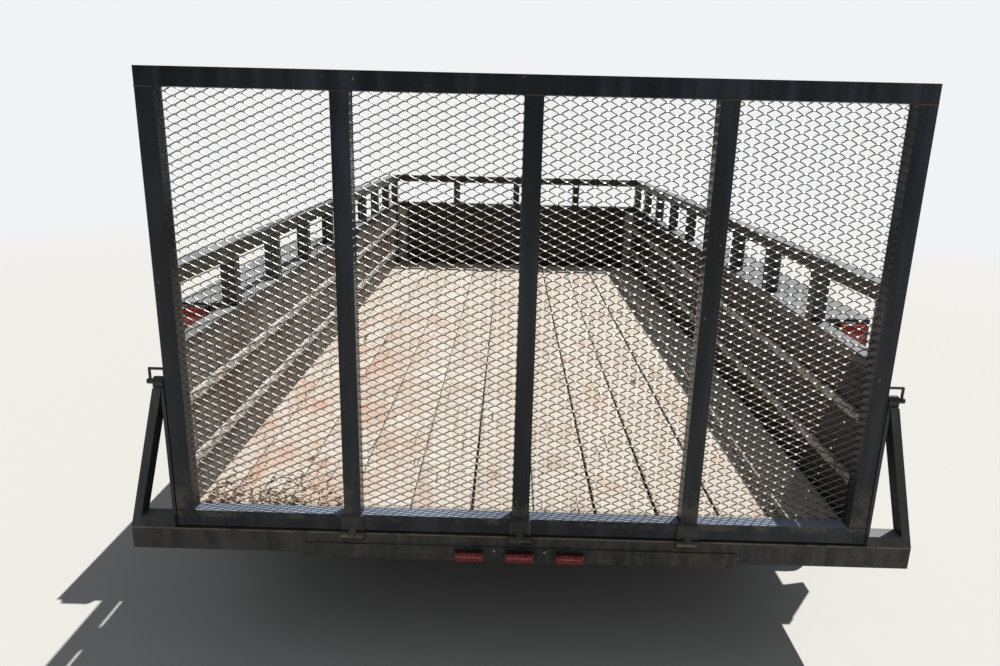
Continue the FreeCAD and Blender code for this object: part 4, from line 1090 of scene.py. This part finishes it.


# Materials
# The bluish dust colours of black_paint and gate_paint are dust plus a painted sky sheen on upward
# faces.
black = painted_steel("black_paint", (0.010, 0.012, 0.013), (0.37, 0.40, 0.43), 0.15,
                      streak=0.35, settled=(0.45, 0.95))
gate_black = painted_steel("gate_paint", (0.009, 0.0125, 0.0155), (0.46, 0.54, 0.70), 0.05,
                           gloss=0.2, streak=0.15, specular=0.2, scuffs=(0.505, 0.68, 0.75),
                           settled=(0.6, 0.95))
panels = panel_paint(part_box("mid_rail_right")[0].x - 0.002)
sill_paint = painted_steel("sill_paint", (0.017, 0.018, 0.016), (0.20, 0.192, 0.160), 0.30,
                           rust_colour=(0.10, 0.062, 0.040), gloss=0.5, streak=0.6, run_scale=48.0,
                           scuffs=(0.30, 0.62, 0.35), worn_edge=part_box("rear_sill")[1].z)
weld_black = painted_steel("weld_paint", (0.018, 0.019, 0.019), (0.16, 0.16, 0.16), 0.6)
axle_black = painted_steel("axle_paint", (0.030, 0.028, 0.026), (0.20, 0.175, 0.145), 0.55,
                           gloss=0.6, streak=0.6)
coupler_black = painted_steel("coupler_paint", (0.020, 0.021, 0.023), (0.17, 0.17, 0.17), 0.35,
                              gloss=0.3)
latch_black = painted_steel("latch_paint", (0.016, 0.017, 0.019), (0.13, 0.14, 0.15), 0.3,
                            gloss=0.3)
wheel_white = painted_steel("wheel_paint", (0.60, 0.60, 0.58), (0.52, 0.50, 0.46), 0.25,
                            gloss=0.35, streak=0.4)
plated = bare_metal("plated_steel", (0.50, 0.51, 0.52), 0.34)
hub_steel = bare_metal("hub_steel", (0.42, 0.42, 0.42), 0.4, stain_edge=0.52)
screw_steel = bare_metal("screw_steel", (0.30, 0.27, 0.24), 0.45, 0.7, stain_edge=0.45)
rubber = tyre_rubber()

# Materials and corners of the solids
wheels = [f"{row}_{side}" for row in ("front", "rear") for side in ("left", "right")]
dress(gate_black, tube_corner, "gate_top_rail", "gate_bottom_rail", "gate_stiles", "gate_bars")
dress(black, tube_corner, "top_rail_left", "top_rail_right", "mid_rail_left", "mid_rail_right",
      "side_posts_left", "side_posts_right", "front_posts", "front_top_rail", "front_mid_rail",
      "gate_brace_left", "gate_brace_right")
dress(black, sheet_corner, "main_rail_left", "main_rail_right", "front_beam", "cross_members",
      "tongue_rails", "fender_left", "fender_right")
dress(sill_paint, sheet_corner, "rear_sill", "lamp_bar", "sill_hinges", "gate_hinges")
dress(panels, panel_corner, "side_panel_left", "side_panel_right", "front_panel")
dress(latch_black, latch_corner, "gate_latch_left", "gate_latch_right", "coupler_lever")
dress(coupler_black, coupler_corner, "coupler")
dress(plated, sheet_corner, "jack_housing", "jack_leg", "jack_crank")
dress(axle_black, axle_corner, "axle_front", "axle_rear", "leaf_springs", "spring_hangers",
      "equalizers", "axle_clamps")
dress(wheel_white, 0.0, *["rim_" + w for w in wheels])
dress(hub_steel, 0.0, *["hub_" + w for w in wheels])

# Pieces that replace solids or add to them
expanded_metal()
gate_welds(weld_black)
frame_welds(weld_black)
deck_boards()
deck_screws(screw_steel)
leaf_litter()
lamps(latch_black, plated)
tyres_and_valves(rubber)
round_links(plated)
jack_bolts(plated)

floor()
lights()
backdrop()
camera()
